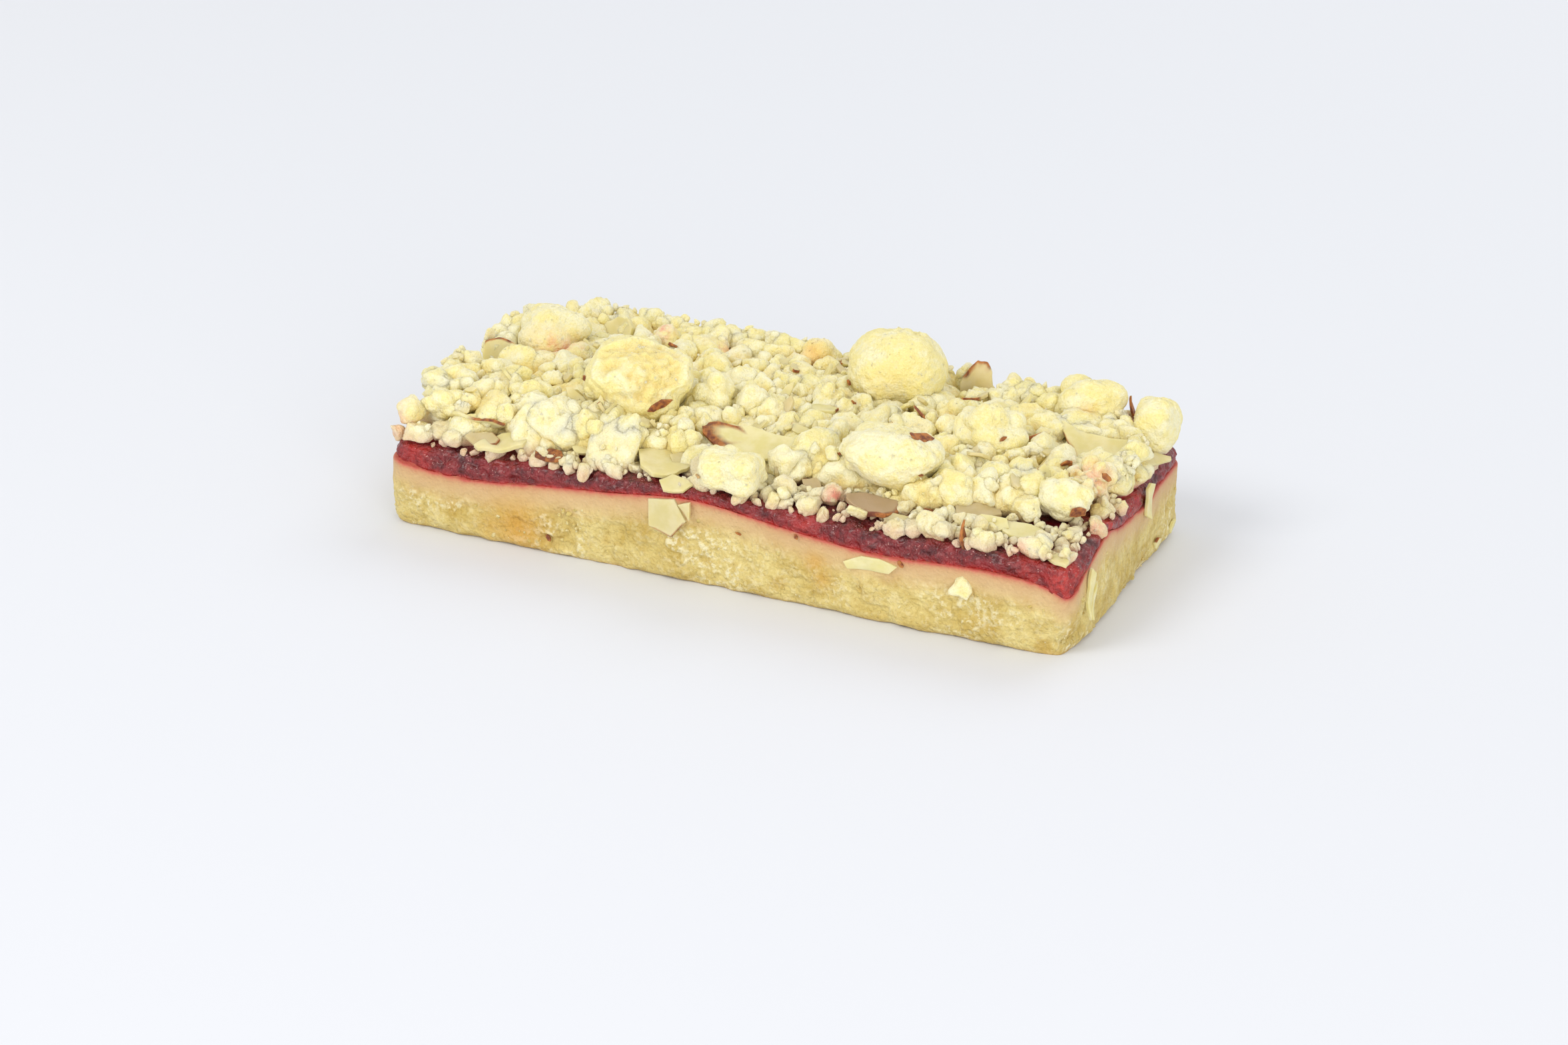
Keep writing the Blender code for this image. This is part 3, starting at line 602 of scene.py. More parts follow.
# The brim rises from the lip over the line as a quarter of a flattened ring, back to the level upper side.
def makeJam():
    look = jam
    under = len(look["underScales"])
    turn = np.linspace(0, math.pi / 2, look["brimRows"])
    brim = look["brimInset"] + (look["brimReach"] - look["brimInset"]) * (1 - np.cos(turn)) ** 1.5
    insets = np.concatenate([
        np.full(under + 1, 1.2), [0.5], brim, np.full(look["topRows"], look["brimReach"]),
    ])
    inward = 1 - (1 - look["innermost"]) * np.linspace(0, 1, look["topRows"] + 1)[1:] ** 1.3
    scales = np.concatenate([look["underScales"], np.ones(2 + look["brimRows"]), inward])
    flat, outward = slabRows(insets, scales, look["columns"])
    x, y = flat[..., 0], flat[..., 1]
    level = jamSurface(x, y)
    line = lineHeight(x, y)[under + 2]
    at = np.stack([x[under + 2], y[under + 2], line], axis=-1)
    lip = line - look["lipDrop"] + layered(at, look["seed"], look["lipSwells"])
    crest = level[under + 1 + look["brimRows"]]
    foot = slab["baseHeight"] + 0.05
    z = np.concatenate([
        np.full((under, look["columns"]), foot), np.stack([lip + 0.5, lip + 0.1]),
        lip + (crest - lip) * np.sin(turn)[:, None] ** 0.8, level[-look["topRows"]:],
    ])
    points = np.stack([x, y, z], axis=-1)
    relief = jamRelief(points)
    rise = np.concatenate([np.zeros(under + 2), np.sin(turn), np.ones(look["topRows"])])[:, None]
    side = np.concatenate([np.zeros(under + 2), np.cos(turn), np.zeros(look["topRows"])])[:, None]
    nearLip = smoothStep(points[..., 2] - line, 0.0, 1.2)
    points[..., :2] += outward * (np.clip(relief * 2.1, -0.6, 0.6) * side * (0.4 + 0.6 * nearLip))[..., None]
    points[..., 2] += relief * rise
    over = points[..., 2] - line
    thin = np.exp(-np.abs(over + 0.1) / 0.4) * (sideDistance(x, y) < 2.5)
    thin = np.maximum(thin, nearSpots(points, look["thinSpots"]))
    haze = smoothStep(over, 0.5, 2.0) * np.ones_like(z)
    points = betweenPoles((0, 0, foot), points, (0, 0, slab["jamTop"]))
    values = dict(thin=betweenPoles(0, thin, 0), haze=betweenPoles(0, haze, 1))
    piece = makePiece("jamFilling", points[None], len(insets), look["columns"], jamFinish, values)
    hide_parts("jam_layer")


makeJam()

# Patches of colour on the dough, in the frame: x, y, z, reach, strength
blushSpots = (
    (-40.8, 4.4, 19.0, 3.0, 0.8), (-42.5, 3.4, 21.5, 2.2, 0.5), (-29.4, 17.0, 22.0, 1.4, 0.8),
    (-18.6, 18.4, 18.6, 2.0, 1.0), (-16.0, 17.6, 18.2, 1.6, 0.7), (52.0, -5.6, 20.0, 3.2, 0.55),
    (16.6, -21.9, 16.8, 1.7, 1.0), (-56, -24, 16.4, 2.4, 0.6), (55.6, -14.6, 16.6, 1.5, 0.6),
    (47.8, -26.4, 16.4, 1.6, 0.45), (49.0, 22.0, 19.0, 2.4, 0.6),
)
goldSpots = (
    (-4.4, 20.4, 21.4, 2.4, 0.9), (43.4, 16.4, 21.0, 1.6, 0.7), (13.0, 8.0, 24.0, 3.0, 0.15),
    (-46.0, 4.0, 22.0, 3.0, 0.25), (33.0, -3.0, 19.6, 1.4, 0.5), (24.6, 6.0, 20.0, 1.6, 0.5),
)


# Values of the dough's patches, of the jam soaked into its foot and of the grey low down near the jam, partly
# damp and partly painted shade, from where its points are.
def doughPatches(points):
    over = points[..., 2] - jamLevel(points[..., 0])
    soak = np.exp(-np.maximum(over, 0) / 0.45) * 0.7
    # Greyer low down near the jam: partly damp, partly painted shade.
    dampAndShade = 0.5 * (1 - smoothStep(over, 0.4, 2.2))
    return dict(blush=nearSpots(points, blushSpots), gold=nearSpots(points, goldSpots), soak=soak, dampAndShade=dampAndShade)


# Outline of the crumb bed: how far it stays from each side, at places along that side
bed = dict(
    front=(
        (-57, 3), (-46, 6), (-36, 7), (-22, 6), (-12, 9), (1, 9),
        (12, 11), (22, 13), (31, 8), (46, 11), (57, 13),
    ),
    back=((-57, 3.8), (-20, 3.0), (0, 3.8), (20, 3.0), (57, 3.8)),
    left=((-27.5, 3.6), (0, 3.0), (27.5, 4.0)),
    right=((-27.5, 9), (-12, 5.5), (-2, 4), (8, 4), (14, 8), (27.5, 8)),
    corner=0.12,  # share by which the corners are drawn in
    edgeShare=1 / 3,  # share of the way to the middle over which it rises
    edgeHeight=0.5,
    height=2.6,
    columns=760,
    rows=112,
    underShares=(0.5, 0.9, 1.0),  # rows of its underside
    foot=0.5,  # how far its rim reaches into the jam
    soak=0.3,
    seed=59,
)


# Points inside the bed's outline for two parameters from -1 to 1, with the corners drawn in.
def bedPoint(u, v):
    drawIn = 1 - bed["corner"] * np.abs(u) ** 6 * np.abs(v) ** 6
    x = u * slab["length"] / 2
    y = v * slab["width"] / 2
    front = -slab["width"] / 2 + np.interp(x, *zip(*bed["front"]))
    back = slab["width"] / 2 - np.interp(x, *zip(*bed["back"]))
    left = -slab["length"] / 2 + np.interp(y, *zip(*bed["left"]))
    right = slab["length"] / 2 - np.interp(y, *zip(*bed["right"]))
    x = (left + right) / 2 + u * (right - left) / 2 * drawIn
    return x, (front + back) / 2 + v * (back - front) / 2 * drawIn


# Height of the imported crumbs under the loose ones: low at the rim, higher inside, with bumps.
def bedHeight(u, v):
    seed = bed["seed"]
    x, y = bedPoint(u, v)
    inside = np.clip((1 - np.maximum(np.abs(u), np.abs(v))) / bed["edgeShare"], 0, 1)
    points = np.stack([x, y, np.zeros_like(x)], axis=-1)
    bumps = 1.5 * packedDomes(points, 4.2, seed) + 0.8 * packedDomes(points, 2.1, seed + 1)
    bumps += 0.3 * packedDomes(points, 1.0, seed + 2) + 0.6 * smoothNoise(points, 7.0, seed + 3) - 0.5
    level = jamLevel(x) + bed["edgeHeight"] * (1 - inside) + bed["height"] * inside
    return level + bumps * (0.45 + 0.55 * inside)


# The core of the heap, in rows that shrink from its outline to the middle. Domes push its rim in and out.
def makeBed():
    look = bed
    seed = look["seed"]
    angle = 2 * math.pi * np.arange(look["columns"]) / look["columns"]
    waves = np.cos(angle), np.sin(angle)
    reach = 1 / np.maximum(*np.abs(waves))
    under = len(look["underShares"])
    share = np.concatenate([look["underShares"], np.linspace(1, 0, look["rows"] + 1)[:-1]])
    u, v = (share[:, None] * reach * wave for wave in waves)
    x, y = bedPoint(u, v)
    z = bedHeight(u, v)
    z[:under] = jamLevel(x[:under]) - look["foot"]
    points = np.stack([x, y, z], axis=-1)
    rim = 0.9 * packedDomes(points, 2.3, seed + 5) + 0.5 * packedDomes(points, 1.1, seed + 6) - 0.9
    rim = smoothStep(share, 0.85, 0.99)[:, None] * rim
    for axis, wave in enumerate(waves):
        points[..., axis] += rim * wave * (np.abs(wave) * reach > 0.96)
    # Painted shade: yellower between the domes and low down near the jam, full under the bed and less at its
    # summit.
    low = 1 - smoothStep(z - jamLevel(x), 0.6, 2.4)
    flat = points * np.array((1, 1, 0))
    crease = 1 - 0.6 * packedDomes(flat, 4.2, seed) - 0.4 * packedDomes(flat, 2.1, seed + 1)
    crease = np.clip(0.15 + 0.9 * crease + 0.3 * low, 0, 1)
    summit = float(bedHeight(np.zeros(1), np.zeros(1))[0])
    points = betweenPoles((0, 0, slab["jamTop"] - look["foot"]), points, (0, 0, summit))
    values = doughPatches(points) | dict(tone=0.3, crease=betweenPoles(1, crease, 0.3))
    values["soak"] = values["soak"] * look["soak"]
    piece = makePiece("packedCrumbs", points[None], len(share), look["columns"], doughFinish, values)
    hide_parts("crumb_topping")


makeBed()


# Unit vectors spread evenly over the sphere along a spiral, each then nudged.
def spreadDirections(count, rng, nudge=0.22):
    step = np.arange(count) + 0.5
    up = 1 - 2 * step / count
    turn = math.pi * (1 + math.sqrt(5)) * step
    side = np.sqrt(1 - up ** 2)
    points = np.stack([side * np.cos(turn), side * np.sin(turn), up], 1)
    points += rng.normal(0, nudge, points.shape)
    return points / np.linalg.norm(points, axis=1, keepdims=True)


# Distance from the middle of a lump, or of each crumb, to its skin: balls of given sizes that touch the unit
# sphere from inside, the far side of the furthest along each direction. A high power mean softens the creases
# between them.
def knobbyReach(directions, towards, size, least, power):
    out = 1 - size
    along = np.einsum("vi,...ki->...vk", directions, towards) * out
    inside = size ** 2 - out ** 2 + along ** 2
    reach = np.where((inside > 0) & (along > 0), along + np.sqrt(np.maximum(inside, 0)), 0)
    return np.mean(np.maximum(reach, least) ** power, axis=-1) ** (1 / power)


# Unit directions of a ball's points: rows of latitude from the lower pole to the upper one, both included.
def ballDirections(rows, columns):
    up = -np.pi / 2 + np.pi * np.arange(1, rows + 1) / (rows + 1)
    turn = 2 * np.pi * np.arange(columns) / columns
    ring = np.stack([
        np.cos(up)[:, None] * np.cos(turn), np.cos(up)[:, None] * np.sin(turn),
        np.broadcast_to(np.sin(up)[:, None], (rows, columns)),
    ], axis=-1)
    return betweenPoles((0, 0, -1), ring, (0, 0, 1))


doughSwells = ((0.3, 3.2, 1), (0.35, 5.5, 6))  # height, period, step of the seed


# Relief of dough along its outward direction, and how much painted shade each point takes in its creases and
# hollows, with the torn-open inside added as its own yellow: soft swells, round grains, and torn ledges where
# a broad noise is high.
def doughRelief(points, rough, seed, rim=0.0, inner=0.0):
    torn = smoothStep(smoothNoise(points, 5.5, seed), 0.75 - 1.2 * rough, 1.15 - 1.2 * rough)
    torn = np.maximum(torn, inner)
    coarse = 0.5 - grainNoise(points, 1.6, seed + 2)
    fine = packedDomes(points, 0.9, seed + 3) - 0.7
    grit = smoothNoise(points, 0.55, seed + 7)
    ledges = 0.5 * smoothNoise(points, 1.7, seed + 4) + 0.9 * (0.5 - grainNoise(points, 2.4, seed + 5))
    relief = layered(points, seed, doughSwells) + 0.3 * rim - 0.6 * inner + (0.18 + 0.4 * torn) * coarse
    relief += (0.17 + 0.14 * torn) * fine + 0.08 * grit + 0.9 * torn * ledges
    hollow = 0.35 * inner + 0.45 * smoothStep(-relief, 0.2, 0.8) + 0.12 * smoothStep(-fine, 0.1, 0.5)
    tornHollow = 0.3 * smoothStep(-coarse, 0.0, 0.4) + 0.2 * smoothStep(-fine, 0.0, 0.3)
    return relief, hollow + torn * tornHollow


# Large lumps by node: knobs and knob size as in the frame, how torn the skin is, how blocky, paleness
lumps = {
    1: (9, 0.62, 0.6, 0.0, 0.6), 2: (8, 0.66, 0.3, 0.0, 0.5), 3: (12, 0.52, 0.45, 0.2, -0.3),
    4: (8, 0.56, 0.2, 0.0, 0.2), 5: (9, 0.52, 0.4, 0.0, 0.2), 6: (16, 0.40, 0.55, 0.0, 0.0),
    7: (8, 0.60, 0.4, 0.9, 0.0), 8: (6, 0.66, 0.15, 0.4, 0.2), 9: (9, 0.50, 0.6, 0.1, -0.2),
    10: (9, 0.44, 0.5, 0.0, 0.3), 11: (8, 0.46, 0.5, 0.0, 0.1), 12: (7, 0.50, 0.4, 0.0, 0.2),
    13: (7, 0.54, 0.4, 0.0, 0.3), 14: (8, 0.48, 0.5, 0.0, 0.3), 15: (10, 0.42, 0.5, 0.0, 0.0),
    16: (9, 0.44, 0.5, 0.0, 0.3), 17: (9, 0.44, 0.4, 0.0, 0.2), 18: (8, 0.46, 0.3, 0.0, -0.2),
}
torn = {1: ((0.38, -0.46, 0.8), 50)}  # lumps whose crust broke open: towards, angle of the opening
lumpSpacing = 0.27  # between points on a lump's skin
lumpSeed = 1100
lumpLows, lumpHighs = np.moveaxis([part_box(f"crumb_lump_{number:02d}") for number in lumps], 1, 0) / mm
lumpMiddles, lumpHalves = (lumpLows + lumpHighs) / 2, (lumpHighs - lumpLows) / 2
lumpSkins = []  # points and outward directions, for what lies on the lumps


# Each lump is a knobby ball stretched to the box of its node, with the dough's relief on it. A torn one has a
# hollow inside a ragged ring.
def makeLumps():
    for (number, look), middle, half in zip(lumps.items(), lumpMiddles, lumpHalves):
        knobs, knobSize, rough, blocky, tone = look
        columns = int(2 * math.pi * half.max() / lumpSpacing)
        rows = columns // 2
        directions = ballDirections(rows, columns)
        rng = np.random.default_rng(lumpSeed + number)
        towards = spreadDirections(knobs, rng)
        reach = knobbyReach(directions, towards, knobSize * rng.uniform(0.8, 1.2, knobs), 0.6, 22)
        if blocky:
            reach *= (np.sum(np.abs(directions) ** 4, axis=1) ** -0.25) ** blocky
        form = directions * reach[:, None]
        least, most = form.min(axis=0), form.max(axis=0)
        points = middle + (2 * form - most - least) / (most - least) * half
        rim = inner = 0.0
        if number in torn:
            opening, spread = torn[number]
            opening = np.array(opening) / np.linalg.norm(opening)
            angle = np.degrees(np.arccos(np.clip(directions @ opening, -1, 1)))
            angle = angle + 16 * smoothNoise(directions, 0.42, number)
            rim = np.exp(-((angle - spread) / 6) ** 2)
            inner = 1 - smoothStep(angle, spread - 8, spread)
        relief, hollow = doughRelief(points, rough, lumpSeed + 10 * number, rim, inner)
        points += directions * np.minimum(relief, 0.65)[:, None]
        lumpSkins.append((points, directions))
        # Painted shade: yellower in the hollows and on the underside; the torn-open inside is yellower of its
        # own.
        under = smoothStep(-directions[:, 2], 0.1, 0.9)
        crease = np.clip(hollow * 0.8 + 0.2 * under, 0, 1)
        values = doughPatches(points) | dict(tone=0.3 + tone, crease=crease)
        piece = makePiece(f"doughLump{number:02d}", points[None], rows, columns, doughFinish, values)
        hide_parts(f"crumb_lump_{number:02d}")


makeLumps()


# Turning matrices from three angles in degrees: across about X, then along about Y, then the turn about Z.
def turning(turn, along, across):
    turn, along, across = (np.radians(np.asarray(angle, float)) for angle in (turn, along, across))
    ct, ca, cc = (np.cos(angle) for angle in (turn, along, across))
    st, sa, sc = (np.sin(angle) for angle in (turn, along, across))
    rows = (
        (ct * ca, ct * sa * sc - st * cc, ct * sa * cc + st * sc),
        (st * ca, st * sa * sc + ct * cc, st * sa * cc - ct * sc),
        (-sa, ca * sc, ca * cc),
    )
    return np.stack([np.stack(row, axis=-1) for row in rows], axis=-2)


# Sliced almonds by node: middle, length, width, turn, tilt along and across, bend, broken edges as in the
# frame, then greyness, and where skin stays on the rim: the direction it faces, its spread and its band in mm
slices = {
    1: ((-0.5, -13.4, 19.4), 16.5, 8.5, 8, -4, 24, 0.8, ((20, 0.86),), 0.0, ((172, 42, 2.6),)),
    2: ((-11.6, -22.6, 16.6), 8.4, 7.4, 10, 4, 8, 0.2, ((150, 0.55), (60, 0.62)), 0.12, ()),
    3: (
        (46.6, 9.6, 19.6), 12.5, 9.0, -18, 10, 32, 0.5, ((-60, 0.30), (200, 0.70)), 0.05,
        ((-130, 50, 0.25),),
    ),
    4: ((22.6, 24.0, 20.4), 8.2, 6.6, 12, 6, 72, 0.3, ((-70, 0.55), (210, 0.6)), 0.25, ((115, 75, 0.7),)),
    5: ((-53.0, 1.6, 19.2), 6.6, 6.4, 20, 0, 66, 0.2, ((180, 0.7), (-80, 0.6)), 0.1, ((80, 60, 0.4),)),
    6: ((22.0, -22.4, 16.5), 12.0, 6.2, 4, 2, 6, -0.2, ((170, 0.8),), 0.8, ((-30, 60, 0.5),)),
    7: ((-38.0, -24.4, 16.3), 8.6, 4.6, 14, -2, 12, 0.4, ((185, 0.7),), 0.1, ()),
    8: ((38.0, -17.4, 16.8), 7.6, 4.2, 10, 4, 14, 0.2, ((0, 0.7), (120, 0.5)), 0.5, ()),
    9: ((-37.6, 18.4, 20.6), 7.4, 6.6, -30, 0, 58, 0.3, ((190, 0.6),), 0.1, ((-60, 50, 0.6),)),
    10: ((46.4, -20.6, 16.4), 7.6, 3.6, 2, 0, 10, 0.4, ((180, 0.75),), 0.0, ()),
}
sliceLook = dict(
    columns=96,
    profile=((0.3, 1.0), (0.6, 1.0), (0.82, 1.0), (0.94, 0.97), (1.0, 0.7)),  # shares of reach and thickness
    thickness=0.85,
    seed=700,
    sharpAngle=38,
)
sliceCorners = {  # rims that differ from the drop: corners in the slice's own plane, anticlockwise
    1: (
        (-8.1, 0.3), (-6.0, -1.4), (-3.5, -2.8), (1.1, -4.1), (6.5, -3.8), (7.8, -2.9), (8.6, -1.2),
        (6.1, 0.5), (3.1, 1.6), (-1.1, 2.8), (-6.1, 2.9), (-8.6, 2.1),
    ),
    2: (
        (-3.1, -1.7), (-0.8, -3.3), (2.6, -2.3), (4.1, 0.8), (3.0, 4.2), (0.5, 4.4), (-2.9, 4.3),
        (-4.6, 2.6),
    ),
    3: (
        (-4.6, -0.8), (-2.2, -2.3), (0.7, -3.6), (3.7, -4.5), (5.4, -1.4), (5.9, 1.4), (5.3, 3.2),
        (2.5, 2.3), (-1.1, 1.1), (-5.9, 0.6),
    ),
    4: (
        (-1.9, -3.6), (3.0, -3.8), (5.0, -2.8), (4.2, -1.4), (2.8, -0.3), (2.2, 1.8), (1.2, 3.2),
        (-0.4, 3.3), (-1.6, 1.7), (-2.6, -0.9),
    ),
    5: (
        (-1.8, -0.4), (-1.2, -2.4), (0.6, -3.6), (3.2, -2.8), (3.8, -0.8), (3.6, 1.8), (1.6, 2.6),
        (0.0, 2.5), (-1.4, 1.9),
    ),
    6: (
        (-3.8, 2.4), (-3.6, 0.8), (-1.8, -0.9), (1.0, -2.3), (3.6, -2.2), (5.0, -0.2), (5.0, 2.0),
        (3.6, 3.0), (0.8, 3.1), (-2.4, 3.0),
    ),
    7: (
        (-3.4, -3.0), (-0.2, -2.8), (3.4, -1.6), (3.7, 0.2), (1.9, 2.0), (-0.7, 1.4), (-2.7, -0.2),
        (-4.2, -2.3),
    ),
    8: ((-2.9, -2.0), (0.8, -2.2), (3.7, 0.0), (3.0, 2.0), (0.2, 2.1), (-3.5, 0.2)),
    9: (
        (-2.8, -3.4), (0.9, -3.4), (3.6, -1.9), (2.6, 0.8), (0.8, 1.8), (-2.0, 1.4), (-3.6, -0.5),
        (-4.2, -2.2),
    ),
}


# A closed sheet from its rim, whose points are taken in shares from the middle of the lower face to the rim
# and back to the middle of the upper one, bent along its length and rippled.
def fillSheet(x, y, length, bend, thickness, profile):
    share, thick = np.array(profile).T
    thick = np.concatenate([-thick, thick[::-1]]) * thickness / 2
    share = np.concatenate([share, share[::-1]])
    px, py = share[:, None] * x, share[:, None] * y
    pz = bend * (2 * px / length) ** 2 + 0.15 * np.sin(1.1 * px + 0.8 * py) + thick[:, None]
    sheet = betweenPoles((0, 0, -thickness / 2), np.stack([px, py, pz], axis=-1), (0, 0, thickness / 2))
    return sheet, share


# Rim of a sliced almond: a drop, cut back to its broken edges.
def dropRim(length, width, broken, columns):
    angle = 2 * math.pi * np.arange(columns) / columns
    x = np.cos(angle) * length / 2
    y = np.sin(angle) * width / 2 * (1 - 0.22 * np.cos(angle))
    y = y * (1 - 0.15 * np.maximum(np.cos(angle), 0) ** 2)
    for facing, share in broken:
        edge = np.array((math.cos(math.radians(facing)), math.sin(math.radians(facing))))
        over = np.maximum(0, x * edge[0] + y * edge[1] - share * length / 2)
        x = x - edge[0] * over
        y = y - edge[1] * over
    return x, y


# Rim walked evenly along straight runs between corners, given anticlockwise.
def cornerRim(corners, columns):
    closed = np.array((*corners, corners[0]), float)
    walked = np.concatenate([[0], np.cumsum(np.hypot(*np.diff(closed, axis=0).T))])
    at = np.arange(columns) / columns * walked[-1]
    return np.interp(at, walked, closed[:, 0]), np.interp(at, walked, closed[:, 1])


# Sliced almond: a sheet inside its slightly ragged rim, with skin in bands along the rim.
def almondSheet(x, y, length, bend, skin, rng):
    ragged = smoothNoise(np.stack([x, y, np.full(len(x), rng.uniform(0, 99))], axis=-1), 0.9, 7)
    out = 1 + 0.12 * ragged / np.hypot(x, y)
    x, y = x * out, y * out
    points, share = fillSheet(x, y, length, bend, sliceLook["thickness"], sliceLook["profile"])
    band = np.zeros((len(share), len(x)))
    for facing, spread, deep in skin:
        turned = np.abs((np.degrees(np.arctan2(y, x)) - facing + 180) % 360 - 180)
        inRange = 1 - smoothStep(turned, spread * 0.7, spread)
        fromRim = (1 - share)[:, None] * np.hypot(x, y)
        band = np.maximum(band, inRange * (1 - smoothStep(fromRim, deep * 0.5, deep)))
    return points, betweenPoles(0, band, 0)


# Each slice is a sheet, tilted and turned, then moved to its middle.
def makeSlices():
    look = sliceLook
    columns, rows = look["columns"], 2 * len(look["profile"])
    for number, (middle, length, width, turn, along, across, bend, broken, grey, skin) in slices.items():
        rng = np.random.default_rng(look["seed"] + number)
        corners = sliceCorners.get(number)
        x, y = cornerRim(corners, columns) if corners else dropRim(length, width, broken, columns)
        sheet, band = almondSheet(x, y, length, bend, skin, rng)
        points = sheet @ turning(turn, along, across).T + np.array(middle)
        name, values = f"almond{number:02d}", dict(grey=grey, skin=band)
        piece = makePiece(name, points[None], rows, columns, almondFinish, values, look["sharpAngle"])
        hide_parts(f"almond_slice_{number:02d}")


makeSlices()


crumbForm = dict(facets=8, facetDepth=(0.58, 1.0), knobs=5, knobSize=0.58)


# Many crumbs at once. Each is a ball cut back by flat facets, with its edges softened by a high power mean,
# blended with a knobby ball by a share of its own, then stretched, turned and moved, with grain relief.
def crumbShapes(places, sizes, rows, columns, rng, facetShare, relief):
    facets, knobs = crumbForm["facets"], crumbForm["knobs"]
    directions = ballDirections(rows, columns)
    count = len(places)
    cuts = np.stack([spreadDirections(facets, rng, 0.4) for _ in range(count)])
    depths = rng.uniform(*crumbForm["facetDepth"], (count, 1, facets))
    facing = np.maximum(np.einsum("vi,cki->cvk", directions, cuts), 0) / depths
    cut = np.minimum(np.sum(facing ** 20, axis=-1) ** (-1 / 20), 1.3)
    towards = np.stack([spreadDirections(knobs, rng) for _ in range(count)])
    size = crumbForm["knobSize"] * rng.uniform(0.75, 1.25, (count, 1, knobs))
    knobby = knobbyReach(directions, towards, size, 0.5, 30)
    share = rng.uniform(*facetShare, (count, 1))
    reach = knobby * (1 - share) + cut * share
    form = directions * reach[..., None] * np.asarray(sizes)[:, None, :]
    spin = turning(rng.uniform(0, 360, count), rng.uniform(-40, 40, count), rng.uniform(-40, 40, count))
    outward = np.einsum("cij,vj->cvi", spin, directions)
    points = np.einsum("cij,cvj->cvi", spin, form) + np.asarray(places)[:, None, :]
    # Painted shade: yellower in the creases between the knobs and, below, in the low parts of the grain
    # relief.
    crease = smoothStep(1 - knobby, 0.12, 0.4) * (1 - share)
    if relief:
        bumps = 0.45 * smoothNoise(points, 1.9, 83) + 0.35 * (packedDomes(points, 1.0, 84) - 0.7)
        bumps = bumps + 0.14 * smoothNoise(points, 0.6, 85)
        least = np.asarray(sizes).min(axis=1)[:, None]
        points += outward * (relief * bumps * np.minimum(least / 2, 1))[..., None]
        crease = np.maximum(crease, 0.5 * smoothStep(-bumps, 0.1, 0.45))
    return points, crease


# A map of heights over the slab on square cells, on which things are piled.
pile = dict(
    cell=0.5,
    keepIn=0.9,  # share of its radius that a ball keeps from the sides
    largeKeepIn=0.4,  # and of what its radius has over largeFrom
    largeFrom=1.2,
    ceiling=22.4,
    around=3,  # cells on each side over which a hollow's level is averaged
    # The yellow of the hollows below is painted shade.
    hollows=(-0.3, 1.5),  # depths from which and to which a hollow turns yellow
    seed=91,
)


class HeightMap:
    def __init__(self):
        cell = pile["cell"]
        self.xs = np.arange(-slab["length"] / 2, slab["length"] / 2 + cell, cell)
        self.ys = np.arange(-slab["width"] / 2, slab["width"] / 2 + cell, cell)
        u, v = np.meshgrid(np.linspace(-1, 1, 400), np.linspace(-1, 1, 200), indexing="ij")
        self.top = np.full((len(self.xs), len(self.ys)), -1.0)
        np.maximum.at(self.top, self.cellAt(*bedPoint(u, v)), bedHeight(u, v))
        gridX, gridY = np.meshgrid(self.xs, self.ys, indexing="ij")
        strip = self.top < 0
        self.top[strip] = jamHeight(gridX[strip], gridY[strip])

    # Column and row of the cell at each point
    def cellAt(self, x, y):
        cells = []
        for at, lines in ((x, self.xs), (y, self.ys)):
            cell = ((at - lines[0]) / pile["cell"]).round().astype(int)
            cells.append(np.clip(cell, 0, len(lines) - 1))
        return tuple(cells)

    # The cells within a radius of a point, and how far each is from it
    def disc(self, x, y, radius):
        column = int(round((x - self.xs[0]) / pile["cell"]))
        row = int(round((y - self.ys[0]) / pile["cell"]))
        reach = int(math.ceil(radius / pile["cell"]))
        columns = slice(max(column - reach, 0), column + reach + 1)
        rows = slice(max(row - reach, 0), row + reach + 1)
        away = np.hypot(self.xs[columns, None] - x, self.ys[None, rows] - y)
        return (columns, rows), away

    # Level on which a ball of a radius rests: the mean height under its middle part
    def rest(self, x, y, radius):
        window, away = self.disc(x, y, radius)
        return float(np.mean(self.top[window][away <= max(radius * 0.7, pile["cell"])]))

    # Raises the map to the upper half of a ball
    def add(self, x, y, z, radius):
        window, away = self.disc(x, y, radius)
        dome = z + np.sqrt(np.maximum(radius ** 2 - away ** 2, 0)) * 0.85
        self.top[window] = np.where(away < radius, np.maximum(self.top[window], dome), self.top[window])

    # How deep points lie under the mean level of the cells around them, from 0 to 1
    def hollow(self, points):
        columns, rows = self.top.shape
        wide = np.pad(self.top, pile["around"], mode="edge")
        shifts = range(2 * pile["around"] + 1)
        mean = sum(wide[i:i + columns, j:j + rows] for i in shifts for j in shifts) / len(shifts) ** 2
        cells = self.cellAt(points[..., 0], points[..., 1])
        return smoothStep(mean[cells] - points[..., 2], *pile["hollows"])


sliceTurns = [turning(*look[3:6]) for look in slices.values()]
sight = np.array((-0.3401, 0.8477, -0.4072))  # the way the photo looks
sightReach = 14.0  # how far before a slice nothing may hide it


# Whether a ball keeps off the large lumps, which it may enter by a share of its radius, and neither lies on a
# slice nor stands before it in the photo.
def freeOfLarge(x, y, z, radius):
    away = (np.array((x, y, z)) - lumpMiddles) / (lumpHalves + radius * 0.3)
    if np.any(np.sum(away ** 2, axis=1) < 1):
        return False
    for turn, (middle, length, width, *_) in zip(sliceTurns, slices.values()):
        local = (np.array((x, y, z)) - np.array(middle)) @ turn
        flat = (local[0] / (length / 2 + radius * 0.5)) ** 2 + (local[1] / (width / 2 + radius * 0.5)) ** 2
        if flat < 1 and -radius * 0.7 - 0.4 < local[2] < radius + 3.0:
            return False
        run = sight @ turn
        away = -local[2] / run[2]
        hit = (local + away * run) / (np.array((length, width, 1.0)) * 0.42 + radius * 0.4)
        if 0 < away < sightReach and hit[0] ** 2 + hit[1] ** 2 < 1:
            return False
    return True


